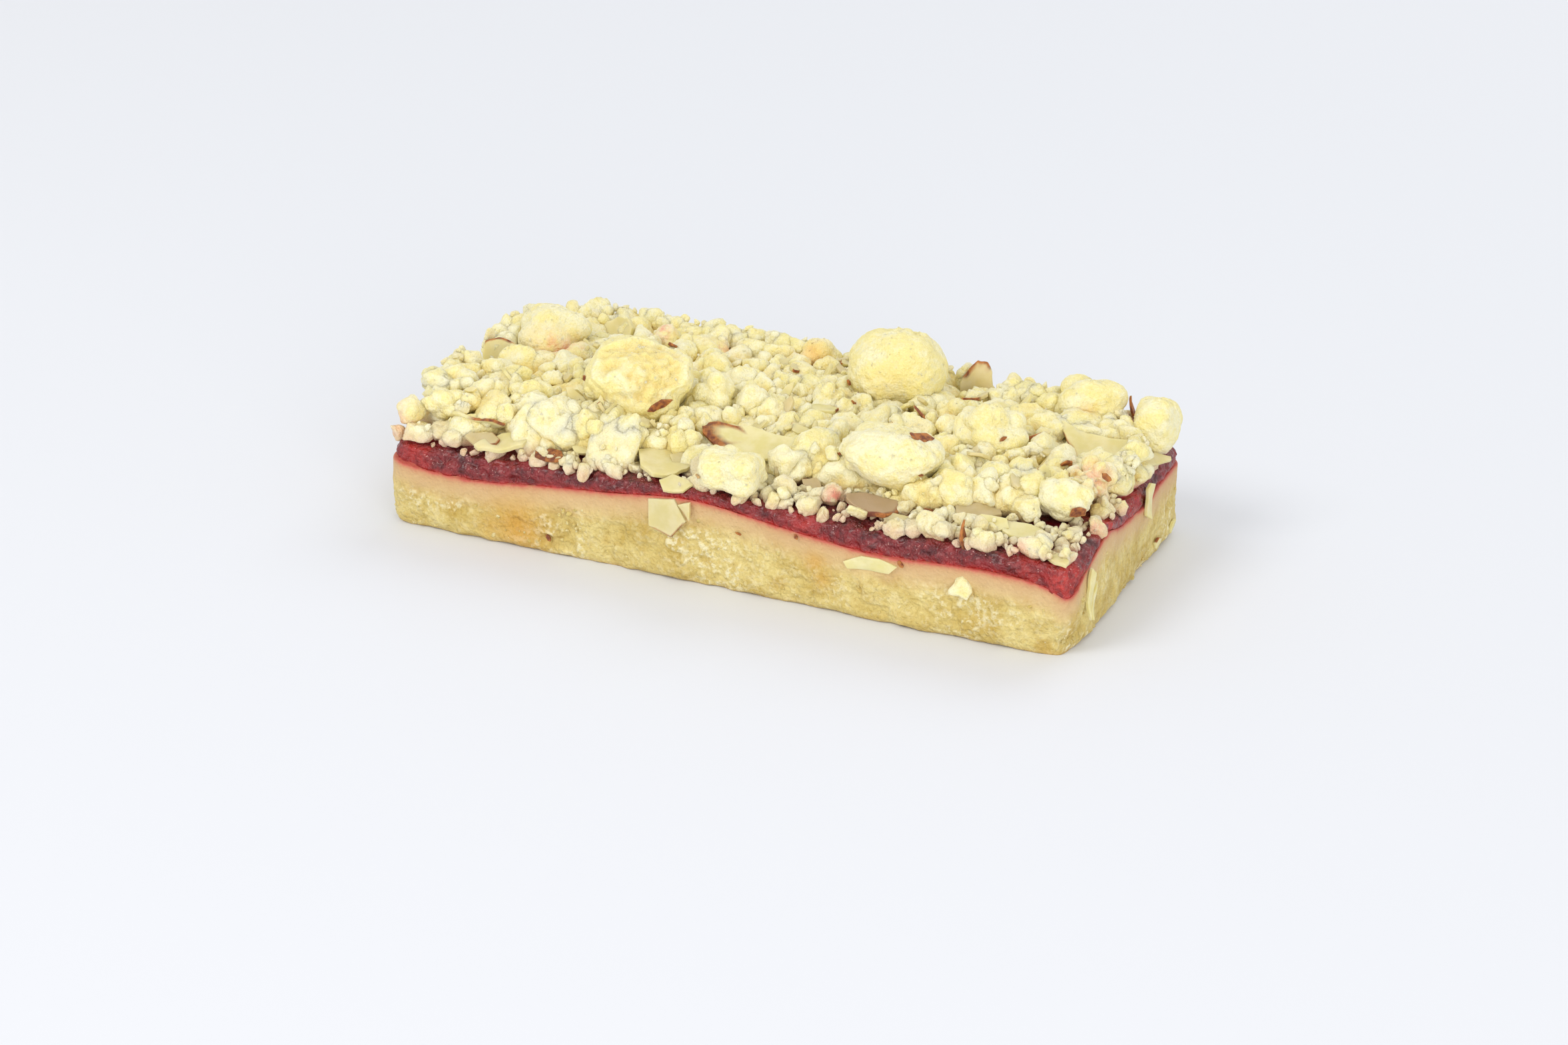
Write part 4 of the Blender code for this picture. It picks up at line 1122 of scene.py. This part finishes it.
# Piles balls on the map, one after the other: each tries some places and lies where its middle is lowest.
def pileUp(heights, radii, drawPlaces, tries, sink):
    placed = []
    for radius in radii:
        best = None
        for x, y in drawPlaces(tries):
            z = heights.rest(x, y, radius) + radius * (1 - 2 * sink)
            margin = radius * pile["keepIn"] + pile["largeKeepIn"] * max(radius - pile["largeFrom"], 0)
            inside = sideDistance(x, y) > margin and z + radius < pile["ceiling"]
            if (best is None or z < best[2]) and inside and freeOfLarge(x, y, z, radius):
                best = (x, y, z)
        if best:
            heights.add(*best, radius)
            placed.append((*best, radius))
    return np.array(placed)


# Crumbs that the photo shows by themselves: middle, half sizes
namedCrumbs = (
    (-29.4, 17.9, 19.4, 3.3, 3.0, 3.0), (-13.4, 0.8, 21.6, 2.2, 2.0, 2.0),
    (36.7, 20.1, 19.4, 2.6, 2.3, 2.4), (26.0, 3.0, 20.0, 3.4, 2.6, 2.8), (34.9, 13.4, 19.6, 3.2, 2.6, 3.0),
    (45.3, -15.2, 17.8, 2.5, 2.2, 2.2), (-7.2, 2.3, 19.0, 2.3, 2.0, 2.2),
    (-55.0, -23.0, 17.6, 2.6, 2.4, 2.2), (25.0, 20.4, 18.9, 2.6, 2.4, 2.6),
    (31.4, 18.4, 18.8, 3.6, 2.2, 2.3), (-4.1, -10.6, 17.8, 2.5, 2.2, 2.0),
    (-25.3, -20.9, 16.6, 2.7, 1.9, 1.7), (10.9, -15.6, 17.3, 2.7, 1.7, 1.7),
    (-0.1, 2.2, 19.4, 2.4, 2.0, 2.4), (30.6, -12.4, 18.2, 2.6, 2.2, 2.2),
    (30.9, -17.6, 17.4, 2.1, 1.9, 2.0), (38.4, -1.8, 19.2, 2.4, 2.2, 2.2),
    (-42.5, -19.0, 17.4, 2.6, 2.2, 2.0), (-33.4, -16.4, 18.0, 3.0, 2.6, 2.4),
    (-48.2, -8.0, 18.4, 2.6, 2.6, 2.2), (-36.4, -5.0, 19.0, 2.8, 2.4, 2.4),
    (41.8, -12.6, 18.0, 2.2, 2.2, 2.0), (53.4, 4.0, 18.0, 2.0, 1.8, 1.8), (-19.6, 8.8, 19.4, 3.0, 2.6, 2.6),
    (4.8, 12.0, 19.4, 2.6, 2.4, 2.6), (48.8, 24.0, 17.8, 2.4, 2.2, 2.4), (-33.0, 8.6, 19.4, 2.8, 2.6, 2.4),
    (40.6, 13.4, 19.4, 2.6, 2.2, 2.4),
)

# Crumbs that sit in the jam by themselves, in the same form
jamCrumbs = (
    (33.6, -25.1, 16.4, 2.1, 1.8, 2.8), (42.0, -25.4, 16.0, 1.7, 1.7, 2.4),
    (49.4, -25.0, 16.0, 2.2, 1.5, 2.0), (15.8, -21.3, 16.6, 1.9, 1.5, 1.9),
    (13.6, -21.6, 16.3, 1.7, 1.5, 1.5), (21.6, -24.4, 15.9, 3.0, 1.5, 1.0),
    (55.6, -13.4, 16.1, 1.3, 1.7, 1.8), (-52.4, -25.6, 15.4, 2.4, 1.7, 1.8),
    (-56.0, -25.2, 14.6, 0.9, 1.2, 1.9), (-30.6, -22.4, 15.8, 1.9, 1.5, 1.3),
    (-20.4, -23.6, 15.8, 1.8, 1.5, 1.5), (8.4, -21.6, 15.8, 2.2, 1.5, 1.2),
    (-46.2, -25.2, 15.4, 1.6, 1.3, 1.2), (38.0, -21.4, 16.3, 1.7, 1.4, 1.5),
    (27.4, -20.4, 16.3, 1.8, 1.6, 1.5), (54.2, -7.8, 16.2, 1.8, 1.6, 1.4),
    (4.0, -22.4, 15.8, 1.3, 1.2, 1.1),
)

# Loose crumbs in the order in which they fall: where, how many, radius from and to, a power that is over 1
# for more small ones than large, a factor on all, how many places each tries, and the share that sinks in
heaps = dict(
    large=("bed", 205, 2.0, 4.3, 1.1, 1.0, 16, 0.56),
    rim=("rim", 100, 1.0, 1.8, 0.8, 1.35, 16, 0.5),
    medium=("bed", 110, 1.0, 1.8, 1.2, 1.0, 16, 0.45),
    stripMedium=("strip", 72, 1.0, 1.8, 2.0, 0.95, 5, 0.3),
    small=("bed", 130, 0.45, 0.9, 1.2, 1.0, 16, 0.4),
    stripSmall=("strip", 200, 0.45, 0.9, 1.5, 1.0, 6, 0.25),
    rimSmall=("outerRim", 120, 0.45, 0.9, 1.2, 1.0, 3, 0.3),
    fineBed=("bed", 210, 0.14, 0.4, 1.5, 1.0, 3, 0.2),
    fineStrip=("strip", 210, 0.14, 0.4, 1.5, 1.0, 1, 0.2),
)
# Shares of the way from the middle to the bed's outline
rimBands = dict(rim=(0.94, 1.05), outerRim=(1.0, 1.09))

# How the pieces made of them look: rows and columns, shares of flat facets, relief, how pale, how much jam
# they soak up, and how grey they turn, partly damp and partly painted shade
crumbBasics = dict(relief=0.0, dampAndShade=0.0, sharpAngle=None)
crumbLooks = dict(
    largeCrumbs=dict(rows=20, columns=40, facetShare=(0.3, 0.9), relief=1.2, pale=0.0, soak=0.6),
    middleCrumbs=dict(rows=16, columns=30, facetShare=(0.3, 0.9), relief=1.2, pale=0.0, soak=0.6),
    mediumCrumbs=dict(rows=11, columns=19, facetShare=(0.4, 0.9), relief=1.0, pale=0.0, soak=1.0),
    crumbsInJam=dict(rows=21, columns=38, facetShare=(0.7, 1.0), relief=1.0, pale=0.4, soak=0.35, dampAndShade=0.3),
    stripCrumbs=dict(rows=17, columns=30, facetShare=(0.5, 1.0), relief=1.5, pale=0.6, soak=0.35, dampAndShade=0.6),
    smallCrumbs=dict(rows=5, columns=8, facetShare=(0.8, 1.0), pale=0.4, soak=0.5, dampAndShade=0.4, sharpAngle=26),
    fineCrumbs=dict(rows=3, columns=6, facetShare=(0.8, 1.0), pale=0.5, soak=0.3, dampAndShade=0.3, sharpAngle=26),
    clingingGrains=dict(rows=3, columns=5, facetShare=(0.5, 1.0), pale=0.1, soak=0.5, sharpAngle=26),
)
biggestFrom = 3.0  # mean half size of the crumbs with the finest mesh
clinging = dict(
    count=1600,
    radius=(0.1, 0.26),
    sunk=0.35,  # share of the radius
    facing=-0.35,  # least Z of the direction away from what carries them
    over=0.8,  # height over the jam from which they lie
)


# The crumbs fall heap by heap. Then each piece is made of one heap or more, and grains cling to the large
# ones and to the lumps.
def makeCrumbs():
    rng = np.random.default_rng(pile["seed"])
    heights = HeightMap()
    crumbSkins = list(lumpSkins)

    # Anywhere on the bed
    def onBed(tries):
        u, v = rng.uniform(-1, 1, (2, tries))
        return np.stack(bedPoint(u, v), axis=-1)

    # At the bed's outline, but not along the front, where onStrip draws
    def onRim(tries, low, high):
        u, v = rng.uniform(-1, 1, (2, tries))
        v = np.where(np.abs(v) > np.abs(u), np.abs(v), v)
        push = rng.uniform(low, high, tries) / np.maximum(np.abs(u), np.abs(v))
        return np.stack(bedPoint(u * push, v * push), axis=-1)

    # On the jam before the bed, more of them to the right and near the bed, and a share at the right end
    def onStrip(tries):
        x = -56 + 108 * rng.uniform(0, 1, tries) ** 0.65
        margin = np.interp(x, *zip(*bed["front"]))
        y = -slab["width"] / 2 + 1.0 + (margin - 0.6) * rng.uniform(0, 1, tries) ** 0.7
        atEnd = rng.uniform(size=tries) < 0.22
        endY = rng.uniform(-27, 26, tries)
        endX = slab["length"] / 2 - np.interp(endY, *zip(*bed["right"])) * rng.uniform(0.15, 1, tries)
        return np.stack([np.where(atEnd, endX, x), np.where(atEnd, endY, y)], axis=-1)

    drawers = dict(bed=onBed, strip=onStrip)
    for name, band in rimBands.items():
        drawers[name] = lambda tries, band=band: onRim(tries, *band)

    # A piece of crumbs at places, with the patches, the painted shade that yellows their creases and hollows,
    # and a tone of its own for each
    def scatter(name, node, places, sizes):
        look = crumbBasics | crumbLooks[name]
        rows, columns = look["rows"], look["columns"]
        points, crease = crumbShapes(places, sizes, rows, columns, rng, look["facetShare"], look["relief"])
        if name in ("largeCrumbs", "middleCrumbs", "crumbsInJam"):
            outward = points - points.mean(axis=1, keepdims=True)
            outward /= np.linalg.norm(outward, axis=-1, keepdims=True)
            crumbSkins.append((points.reshape(-1, 3), outward.reshape(-1, 3)))
        tone = rng.uniform(-0.35, 0.7, len(places))[:, None] - look["pale"]
        values = doughPatches(points) | dict(tone=tone)
        # Painted shade in the creases and in hollows below the heap's mean level.
        values["crease"] = np.maximum(crease * 0.8, heights.hollow(points) * (1 - look["dampAndShade"]))
        values["soak"] = values["soak"] * look["soak"]
        # On top of that, a random grey per crumb, up to the share the look gives.
        values["dampAndShade"] = np.maximum(values["dampAndShade"], look["dampAndShade"] * rng.uniform(0, 1, (len(places), 1)))
        piece = makePiece(name, points, rows, columns, doughFinish, values, look["sharpAngle"])
        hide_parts(node)

    # Half sizes that differ from the radius by a factor from low to high
    def uneven(placed, low, high):
        return placed[:, 3:] * rng.uniform(low, high, (len(placed), 3))

    # A piece of the balls of some heaps
    def scatterBalls(name, node, kinds, low, high):
        placed = np.concatenate([balls[kind] for kind in kinds])
        scatter(name, node, placed[:, :3], uneven(placed, low, high))

    for x, y, z, *half in namedCrumbs + jamCrumbs:
        heights.add(x, y, z, float(np.mean(half)))
    balls = {}
    for kind, (where, count, low, high, power, factor, tries, sink) in heaps.items():
        radii = (low + (high - low) * np.sort(rng.uniform(0, 1, count) ** power)[::-1]) * factor
        balls[kind] = pileUp(heights, radii, drawers[where], tries, sink)

    named, single, large = np.array(namedCrumbs), np.array(jamCrumbs), balls["large"]
    places = np.concatenate([named[:, :3], large[:, :3]])
    sizes = np.concatenate([named[:, 3:], uneven(large, 0.85, 1.25)])
    biggest = sizes.mean(axis=1) > biggestFrom
    for name, chosen in (("largeCrumbs", biggest), ("middleCrumbs", ~biggest)):
        scatter(name, "crumb_topping", places[chosen], sizes[chosen])
    scatterBalls("mediumCrumbs", "crumb_topping", ("rim", "medium"), 0.8, 1.35)
    scatter("crumbsInJam", "jam_layer", single[:, :3], single[:, 3:])
    scatterBalls("stripCrumbs", "jam_layer", ("stripMedium",), 0.7, 1.5)
    scatterBalls("smallCrumbs", "crumb_topping", ("small", "stripSmall", "rimSmall"), 0.6, 1.5)
    scatterBalls("fineCrumbs", "crumb_topping", ("fineBed", "fineStrip"), 0.6, 1.5)

    look = clinging
    skins, outward = (np.concatenate(lists) for lists in zip(*crumbSkins))
    above = skins[:, 2] > jamLevel(skins[:, 0]) + look["over"]
    shown = np.flatnonzero((outward[:, 2] > look["facing"]) & above)
    chosen = rng.choice(shown, look["count"], replace=False)
    low, high = look["radius"]
    radius = low + (high - low) * rng.uniform(0, 1, look["count"]) ** 2
    places = skins[chosen] - outward[chosen] * (radius * look["sunk"])[:, None]
    sizes = radius[:, None] * rng.uniform(0.7, 1.4, (len(radius), 3))
    scatter("clingingGrains", "crumb_topping", places, sizes)
    return heights


heights = makeCrumbs()

# Smaller bits of almond that the photo shows: x, y, z, length, width, turn, along, across, greyness, skin
almondBits = (
    (-7.8, -26.2, 15.4, 5.4, 3.2, 10, 0, 30, 0.1, 0.0),
    (-43.4, -22.6, 17.8, 9.0, 2.8, 4, 2, -50, 0.05, 0.5),
    (-41.0, -25.6, 16.4, 5.6, 3.0, 12, 0, 20, 0.45, 0.1),
    (-29.7, -25.0, 15.7, 5.2, 2.6, -6, 2, 20, 0.0, 1.0),
    (-25.1, -21.3, 17.0, 5.4, 4.0, 16, 0, 30, 0.05, 0.1),
    # The first chip here is greyed as painted shade under the lump beside it.
    (-27.4, -15.8, 18.0, 5.6, 3.0, 6, 0, 30, 0.4, 0.0), (6.3, -18.4, 16.9, 4.6, 3.6, 40, 60, 20, 0.45, 0.0),
    (4.0, -19.4, 16.9, 3.6, 1.2, 80, 50, 0, 0.1, 0.0), (8.2, -16.4, 16.8, 4.4, 2.6, -30, 10, 20, 0.0, 0.9),
    (27.8, -24.0, 15.7, 5.0, 2.8, 6, 0, 20, 0.3, 0.0), (41.0, -20.8, 16.8, 6.4, 3.0, 2, 0, 34, 0.0, 0.0),
    (38.9, -26.0, 16.0, 6.0, 2.2, 6, 84, 0, 0.0, 1.0), (53.4, -25.6, 15.6, 6.0, 2.0, -40, 4, 10, 0.15, 0.0),
    (56.0, 13.7, 16.8, 8.0, 2.2, 70, 8, 30, 0.2, 0.0), (44.9, 17.4, 19.6, 5.2, 3.2, 20, -10, 50, 0.0, 1.0),
    (49.0, 23.6, 20.4, 4.4, 2.2, 20, 76, 0, 0.0, 1.0), (-51.6, -2.8, 17.6, 5.0, 2.6, 30, 10, 50, 0.3, 0.9),
    (-15.0, 16.6, 18.6, 7.4, 3.4, -8, -8, 40, 0.3, 0.3), (-11.0, 13.6, 18.9, 7.0, 4.4, 6, 0, 16, 0.1, 0.0),
    (-4.9, 1.1, 20.6, 1.6, 1.2, 40, 20, 50, 0.0, 1.0), (9.3, 3.6, 20.9, 2.6, 1.6, 60, 40, 50, 0.0, 1.0),
    (16.2, 6.6, 20.4, 2.4, 1.4, 30, 30, 40, 0.0, 1.0), (-4.5, 11.4, 20.2, 2.4, 1.4, 30, 50, 30, 0.0, 0.9),
    (-9.0, -20.0, 17.0, 5.0, 2.8, 20, 10, 20, 0.3, 0.0),
    (31.6, -20.6, 16.6, 2.6, 1.6, 60, 30, 20, 0.0, 1.0),
    (12.0, -19.0, 16.6, 4.2, 2.4, -20, 10, 20, 0.6, 0.2),
    (-33.0, -20.6, 16.8, 5.0, 2.8, 24, 0, 24, 0.3, 0.2), (45.0, -9.4, 18.6, 4.4, 2.6, 30, 10, 30, 0.2, 0.0),
    (36.0, -13.0, 18.4, 4.6, 2.4, 10, 0, 30, 0.4, 0.0),
)

# Skin and chips on the lumps, snapped to the nearest point of one: x, y, z, length, width, turn, skin
lumpBits = (
    (-15.5, -15.5, 24.1, 4.4, 1.5, 25, 1.0), (-28.4, -13.0, 24.6, 1.0, 0.7, 60, 1.0),
    (27.3, -14.0, 25.6, 4.8, 1.8, -35, 1.0), (54.5, -6.0, 21.6, 1.8, 0.9, -50, 1.0),
    (53.2, -16.2, 19.4, 2.6, 1.7, 10, 1.0), (-38.8, 8.6, 20.6, 3.6, 1.6, -30, 1.0),
    (6.0, 9.0, 22.0, 1.6, 0.9, 40, 1.0), (28.0, -17.0, 22.4, 0.8, 0.5, 0, 1.0),
    (-3.0, -27.6, 18.6, 1.6, 0.5, 5, 0.7), (36.0, -1.4, 22.4, 1.4, 0.6, 30, 1.0),
    (40.6, 17.4, 20.0, 1.2, 0.8, 10, 1.0),
)

# Chips pressed on the cut faces: x, y, z, the way they face, length, width, turn, greyness, and where skin
# stays on the rim, in degrees, or 0 for a bit of skin alone
faceBits = (
    (57.3, -20.4, 8.9, (1, -0.25, 0.05), 8.2, 1.5, 86, 0.0, None),
    (57.25, -18.4, 6.6, (1, 0, 0.05), 6.0, 1.1, 82, 0.0, None),
    (57.2, 8.0, 12.4, (1, 0, 0.1), 5.8, 3.0, 78, 0.0, None),
    (57.25, 22.4, 2.4, (1, 0, 0.0), 2.4, 1.5, 60, 0.0, None),
    (57.25, 14.6, 2.6, (1, 0, 0.0), 2.2, 1.7, 30, 0.0, 60),
    (24.6, -27.4, 9.6, (0, -1, 0.02), 8.6, 2.2, 4, 0.0, None),
    (29.8, -27.6, 10.6, (0, -1, 0), 1.3, 0.7, -40, 0.0, 0),
    (-28.6, -27.6, 3.0, (0, -1, 0), 1.2, 0.7, -50, 0.0, 0),
    (12.8, -27.6, 11.6, (0, -1, 0), 0.9, 0.6, -50, 0.0, 0),
    (3.4, -27.6, 10.2, (0, -1, 0), 1.1, 0.3, -10, 0.0, 0),
)

# Chips whose corners the photo shows, a kite and a triangle on the front face: middle, the way they face,
# corners in that plane, anticlockwise, and where skin stays on the rim
corneredChips = (
    (
        (-8.2, -27.8, 10.7), (0, -1, 0.06),
        ((-3.4, 2.4), (-3.2, 0.2), (-3.0, -1.8), (0.6, -3.2), (3.0, -0.1), (0.85, 3.1)), -80,
    ),
    (
        (-5.2, -28.0, 12.7), (-0.1, -1, 0.1),
        ((-1.4, 0.4), (-0.3, -0.6), (0.7, -1.7), (0.8, -0.2), (0.7, 1.3), (-0.3, 0.9)), None,
    ),
)

bits = dict(
    corners=6,
    runs=4,  # points on each side between corners
    profile=((0.5, 1.0), (0.88, 1.0), (1.0, 0.75)),  # shares of reach and thickness
    thickness=0.6,
    skinThickness=0.4,
    rimSkin=62,  # degrees to each side of where skin stays on the rim
    seed=123,
)
# Chips that lie on the crumbs by chance
looseChips = dict(
    count=150,
    within=0.96,  # share of the way to the bed's outline
    length=(2.2, 5.2),
    width=(0.3, 0.65),  # share of the length
    tilt=45,
    skinShare=0.07,  # share of them that are all skin
    rimShare=0.4,  # share of them with skin on the rim
    grey=0.35,  # at most
)


# Corners of a chip, which stand near an ellipse.
def chipCorners(length, width, rng):
    count = bits["corners"]
    turn = 2 * math.pi * (np.arange(count) + rng.uniform(-0.34, 0.34, count)) / count
    reach = rng.uniform(0.7, 1.0, count)
    corner = np.stack([np.cos(turn) * length / 2 * reach, np.sin(turn) * width / 2 * reach], axis=-1)
    return corner * np.array((length, width)) / (corner.max(axis=0) - corner.min(axis=0))


# Chip with the same number of points on each straight side.
def chipSheet(corner, bend, thickness):
    share = (np.arange(bits["runs"]) / bits["runs"])[None, :, None]
    rim = corner[:, None] * (1 - share) + np.roll(corner, -1, axis=0)[:, None] * share
    x, y = rim.reshape(-1, 2).T
    points, share = fillSheet(x, y, max(np.ptp(x), 1.0), bend, thickness, bits["profile"])
    return points, x, y, share


# Turning that lays a chip's own Z along an outward direction, and turns it in its plane from level.
def facingTurn(outward, turn):
    outward = np.array(outward, float)
    outward /= np.linalg.norm(outward)
    level = np.cross((0, 0, 1), outward)
    level = level / np.linalg.norm(level) if np.linalg.norm(level) > 0.05 else np.array((1.0, 0, 0))
    up = np.cross(outward, level)
    turn = math.radians(turn)
    along = level * math.cos(turn) + up * math.sin(turn)
    across = up * math.cos(turn) - level * math.sin(turn)
    return np.stack([along, across, outward], axis=-1)


# The chips of the lists first, then the loose ones, all in one piece.
def makeAlmondBits():
    look = looseChips
    rng = np.random.default_rng(bits["seed"])
    allPoints, skins, greys = [], [], []

    # A chip at a place. Skin thins it, and a direction puts skin on that part of the rim.
    def addChip(place, spin, length, width, grey, skin, rimFacing=None, corners=None):
        thickness = bits["skinThickness"] if skin > 0.6 else bits["thickness"]
        corners = chipCorners(length, width, rng) if corners is None else np.array(corners)
        sheet, x, y, share = chipSheet(corners, length * 0.05, thickness)
        band = np.full((len(share), len(x)), skin)
        if rimFacing is not None:
            turned = np.abs((np.degrees(np.arctan2(y, x)) - rimFacing + 180) % 360 - 180)
            band = np.maximum(band, (turned < bits["rimSkin"]) * (share[:, None] > 0.9))
        allPoints.append(sheet @ spin.T + np.array(place))
        skins.append(betweenPoles(skin, band, skin))
        greys.append(np.full(len(sheet), grey))

    for x, y, z, length, width, turn, along, across, grey, skin in almondBits:
        rim = rng.uniform(0, 360) if 0 < skin < 1 else None
        addChip((x, y, z), turning(turn, along, across), length, width, grey, 1.0 if skin == 1 else 0.0, rim)
    middles, outwards = (np.concatenate(lists) for lists in zip(*lumpSkins))
    for x, y, z, length, width, turn, skin in lumpBits:
        nearest = np.argmin(np.sum((middles - np.array((x, y, z))) ** 2, axis=1))
        outward = outwards[nearest]
        addChip(middles[nearest] + outward * 0.12, facingTurn(outward, turn), length, width, 0.0, skin)
    for x, y, z, outward, length, width, turn, grey, rim in faceBits:
        skin = 1.0 if rim == 0 else 0.0
        addChip((x, y, z), facingTurn(outward, turn), length, width, grey, skin, rim or None)
    for place, outward, corners, rim in corneredChips:
        addChip(place, facingTurn(outward, 0), 2.0, 2.0, 0.2, 0.0, rim, corners)
    for _ in range(look["count"]):
        x, y = (float(value[0]) for value in bedPoint(*rng.uniform(-look["within"], look["within"], (2, 1))))
        length = rng.uniform(*look["length"])
        z = heights.rest(x, y, 1.0)
        if z + 1.0 < pile["ceiling"] and freeOfLarge(x, y, z, 0.8):
            skin = 1.0 if rng.uniform() < look["skinShare"] else 0.0
            rim = rng.uniform(0, 360) if rng.uniform() < look["rimShare"] else None
            spin = turning(rng.uniform(0, 360), *rng.uniform(-look["tilt"], look["tilt"], 2))
            width = length * rng.uniform(*look["width"])
            addChip((x, y, z), spin, length, width, rng.uniform(0, look["grey"]), skin, rim)
    rows, columns = 2 * len(bits["profile"]), bits["corners"] * bits["runs"]
    values = dict(skin=np.array(skins), grey=np.array(greys))
    piece = makePiece("almondBits", np.array(allPoints), rows, columns, almondFinish, values, sharpAngle=40)


makeAlmondBits()


faceCrumbs = dict(
    count=900,
    radius=(0.14, 0.45),
    sunk=0.5,  # share of the radius
    nuggets=((39.5, -27.6, 8.8, 1.5, 1.0, 1.9, 0.0),),  # the white one of the photo: middle, half sizes, gold
    seed=207,
)


# Crumbs of the cut shortbread stand out of its faces, half sunk, small and low down more often than not. They
# follow the worn corner.
def makeFaceCrumbs():
    look = faceCrumbs
    rng = np.random.default_rng(look["seed"])

    def addCrumbs(name, places, sizes, rows, columns, relief, finish, colouring, sharpAngle=None):
        points, _ = crumbShapes(places, sizes, rows, columns, rng, (0.3, 1.0), relief)
        points[..., 2] = np.maximum(points[..., 2], 0.02)
        piece = makePiece(name, points, rows, columns, finish, colouring, sharpAngle)
        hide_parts("shortbread_base")

    point, outward = outlineAt(rng.uniform(0, 1, look["count"]))
    line = lineHeight(point[:, 0], point[:, 1])
    low, high = look["radius"]
    radius = low + (high - low) * rng.uniform(0, 1, look["count"]) ** 2.2
    z = 0.5 + (line - 3.5) * rng.uniform(0, 1, look["count"]) ** 1.2
    at = np.stack([point[:, 0], point[:, 1], z], axis=-1)
    kept = smoothNoise(at, 5.0, look["seed"]) > -0.25
    worn = wornDepth(point[:, 0], point[:, 1], z)
    inset = 0.1 + look["sunk"] * radius + 0.7 * np.maximum(1.2 - z, 0) + worn
    places = np.concatenate([point - outward * inset[:, None], z[:, None]], axis=1)[kept]
    sizes = radius[kept, None] * rng.uniform(0.8, 1.3, (int(kept.sum()), 3))
    chalkAndGrainHighlight = rng.uniform(0, 0.9, (len(places), 1)) ** 1.5
    colouring = dict(depth=8.0, chalkAndGrainHighlight=chalkAndGrainHighlight, golden=0.0, stain=0.0, baked=0.0)
    addCrumbs("faceCrumbs", places, sizes, 5, 8, 0.4, shortbreadFinish, colouring, 30)
    nuggets = np.array(look["nuggets"])
    # A little painted shade all over.
    colouring = dict(blush=0.0, gold=nuggets[:, 6:], soak=0.0, dampAndShade=0.0, tone=0.0, crease=0.2)
    addCrumbs("faceNuggets", nuggets[:, :3], nuggets[:, 3:6], 26, 44, 1.2, doughFinish, colouring)


makeFaceCrumbs()


stage = dict(
    reach=4.0,  # metres from the middle to the sides of the floor
    floorColours=(paint(226, 230, 238), paint(229, 232, 240)),
    roomColour=(1.0, 0.985, 0.955, 1.0),
    roomStrength=0.72,
)
# Name, place in metres, size, power, colour
lamps = (
    ("keyLamp", (-0.55, -0.85, 0.95), 0.6, 6.5, (1.0, 0.985, 0.95)),
    ("fillLamp", (0.75, -0.95, 0.25), 0.9, 6.8, (1.0, 0.99, 0.97)),
    ("backLamp", (0.2, 0.9, 0.9), 0.8, 3.0, (0.97, 0.98, 1.0)),
)


# A wide pale floor, soft light from large lamps that face the middle, and a bright room.
def makeStage():
    reach = stage["reach"]
    corners = [(-reach, -reach, 0), (reach, -reach, 0), (reach, reach, 0), (-reach, reach, 0)]
    floorMesh = bpy.data.meshes.new("floor")
    floorMesh.from_pydata(corners, [], [(0, 1, 2, 3)])
    finish = Finish("floorFinish", Roughness=0.7)
    shade = finish.noise(900.0, 1.0).between(0.2, 0.8)
    finish.feed(Base_Color=finish.mix(shade, *stage["floorColours"]))
    floorMesh.materials.append(finish.material)
    floor = addObject("floor", floorMesh)
    world = bpy.data.worlds.new("room")
    world.use_nodes = True
    background = world.node_tree.nodes["Background"]
    background.inputs["Color"].default_value = stage["roomColour"]
    background.inputs["Strength"].default_value = stage["roomStrength"]
    bpy.context.scene.world = world
    for name, place, size, power, colour in lamps:
        light = bpy.data.lights.new(name, "AREA")
        light.shape = "DISK"
        light.size = size
        light.energy = power
        light.color = colour
        lamp = addObject(name, light)
        lamp.location = place
        lamp.rotation_euler = (-Vector(place)).to_track_quat("-Z", "Y").to_euler()


viewpoint = dict(
    place=(198.9, -496.3, 238.7),  # mm
    lookAt=(0.9, -2.9, 1.7),
    roll=2.06,  # degrees
    focalLength=84.15,  # mm, on a sensor 36 mm wide
)


# Looks from the place to the point, then rolls about its own axis.
def makeCamera():
    camera = addObject("camera", bpy.data.cameras.new("camera"))
    camera.data.lens = viewpoint["focalLength"]
    camera.data.sensor_width = 36.0
    camera.data.clip_start = 0.01
    place = Vector(viewpoint["place"]) * mm
    aim = (Vector(viewpoint["lookAt"]) * mm - place).to_track_quat("-Z", "Y")
    camera.location = place
    camera.rotation_euler = (aim @ Quaternion((0, 0, 1), math.radians(viewpoint["roll"]))).to_euler()
    bpy.context.scene.camera = camera


makeStage()
makeCamera()
bpy.context.scene.view_settings.view_transform = "Standard"
print("stage and camera made")
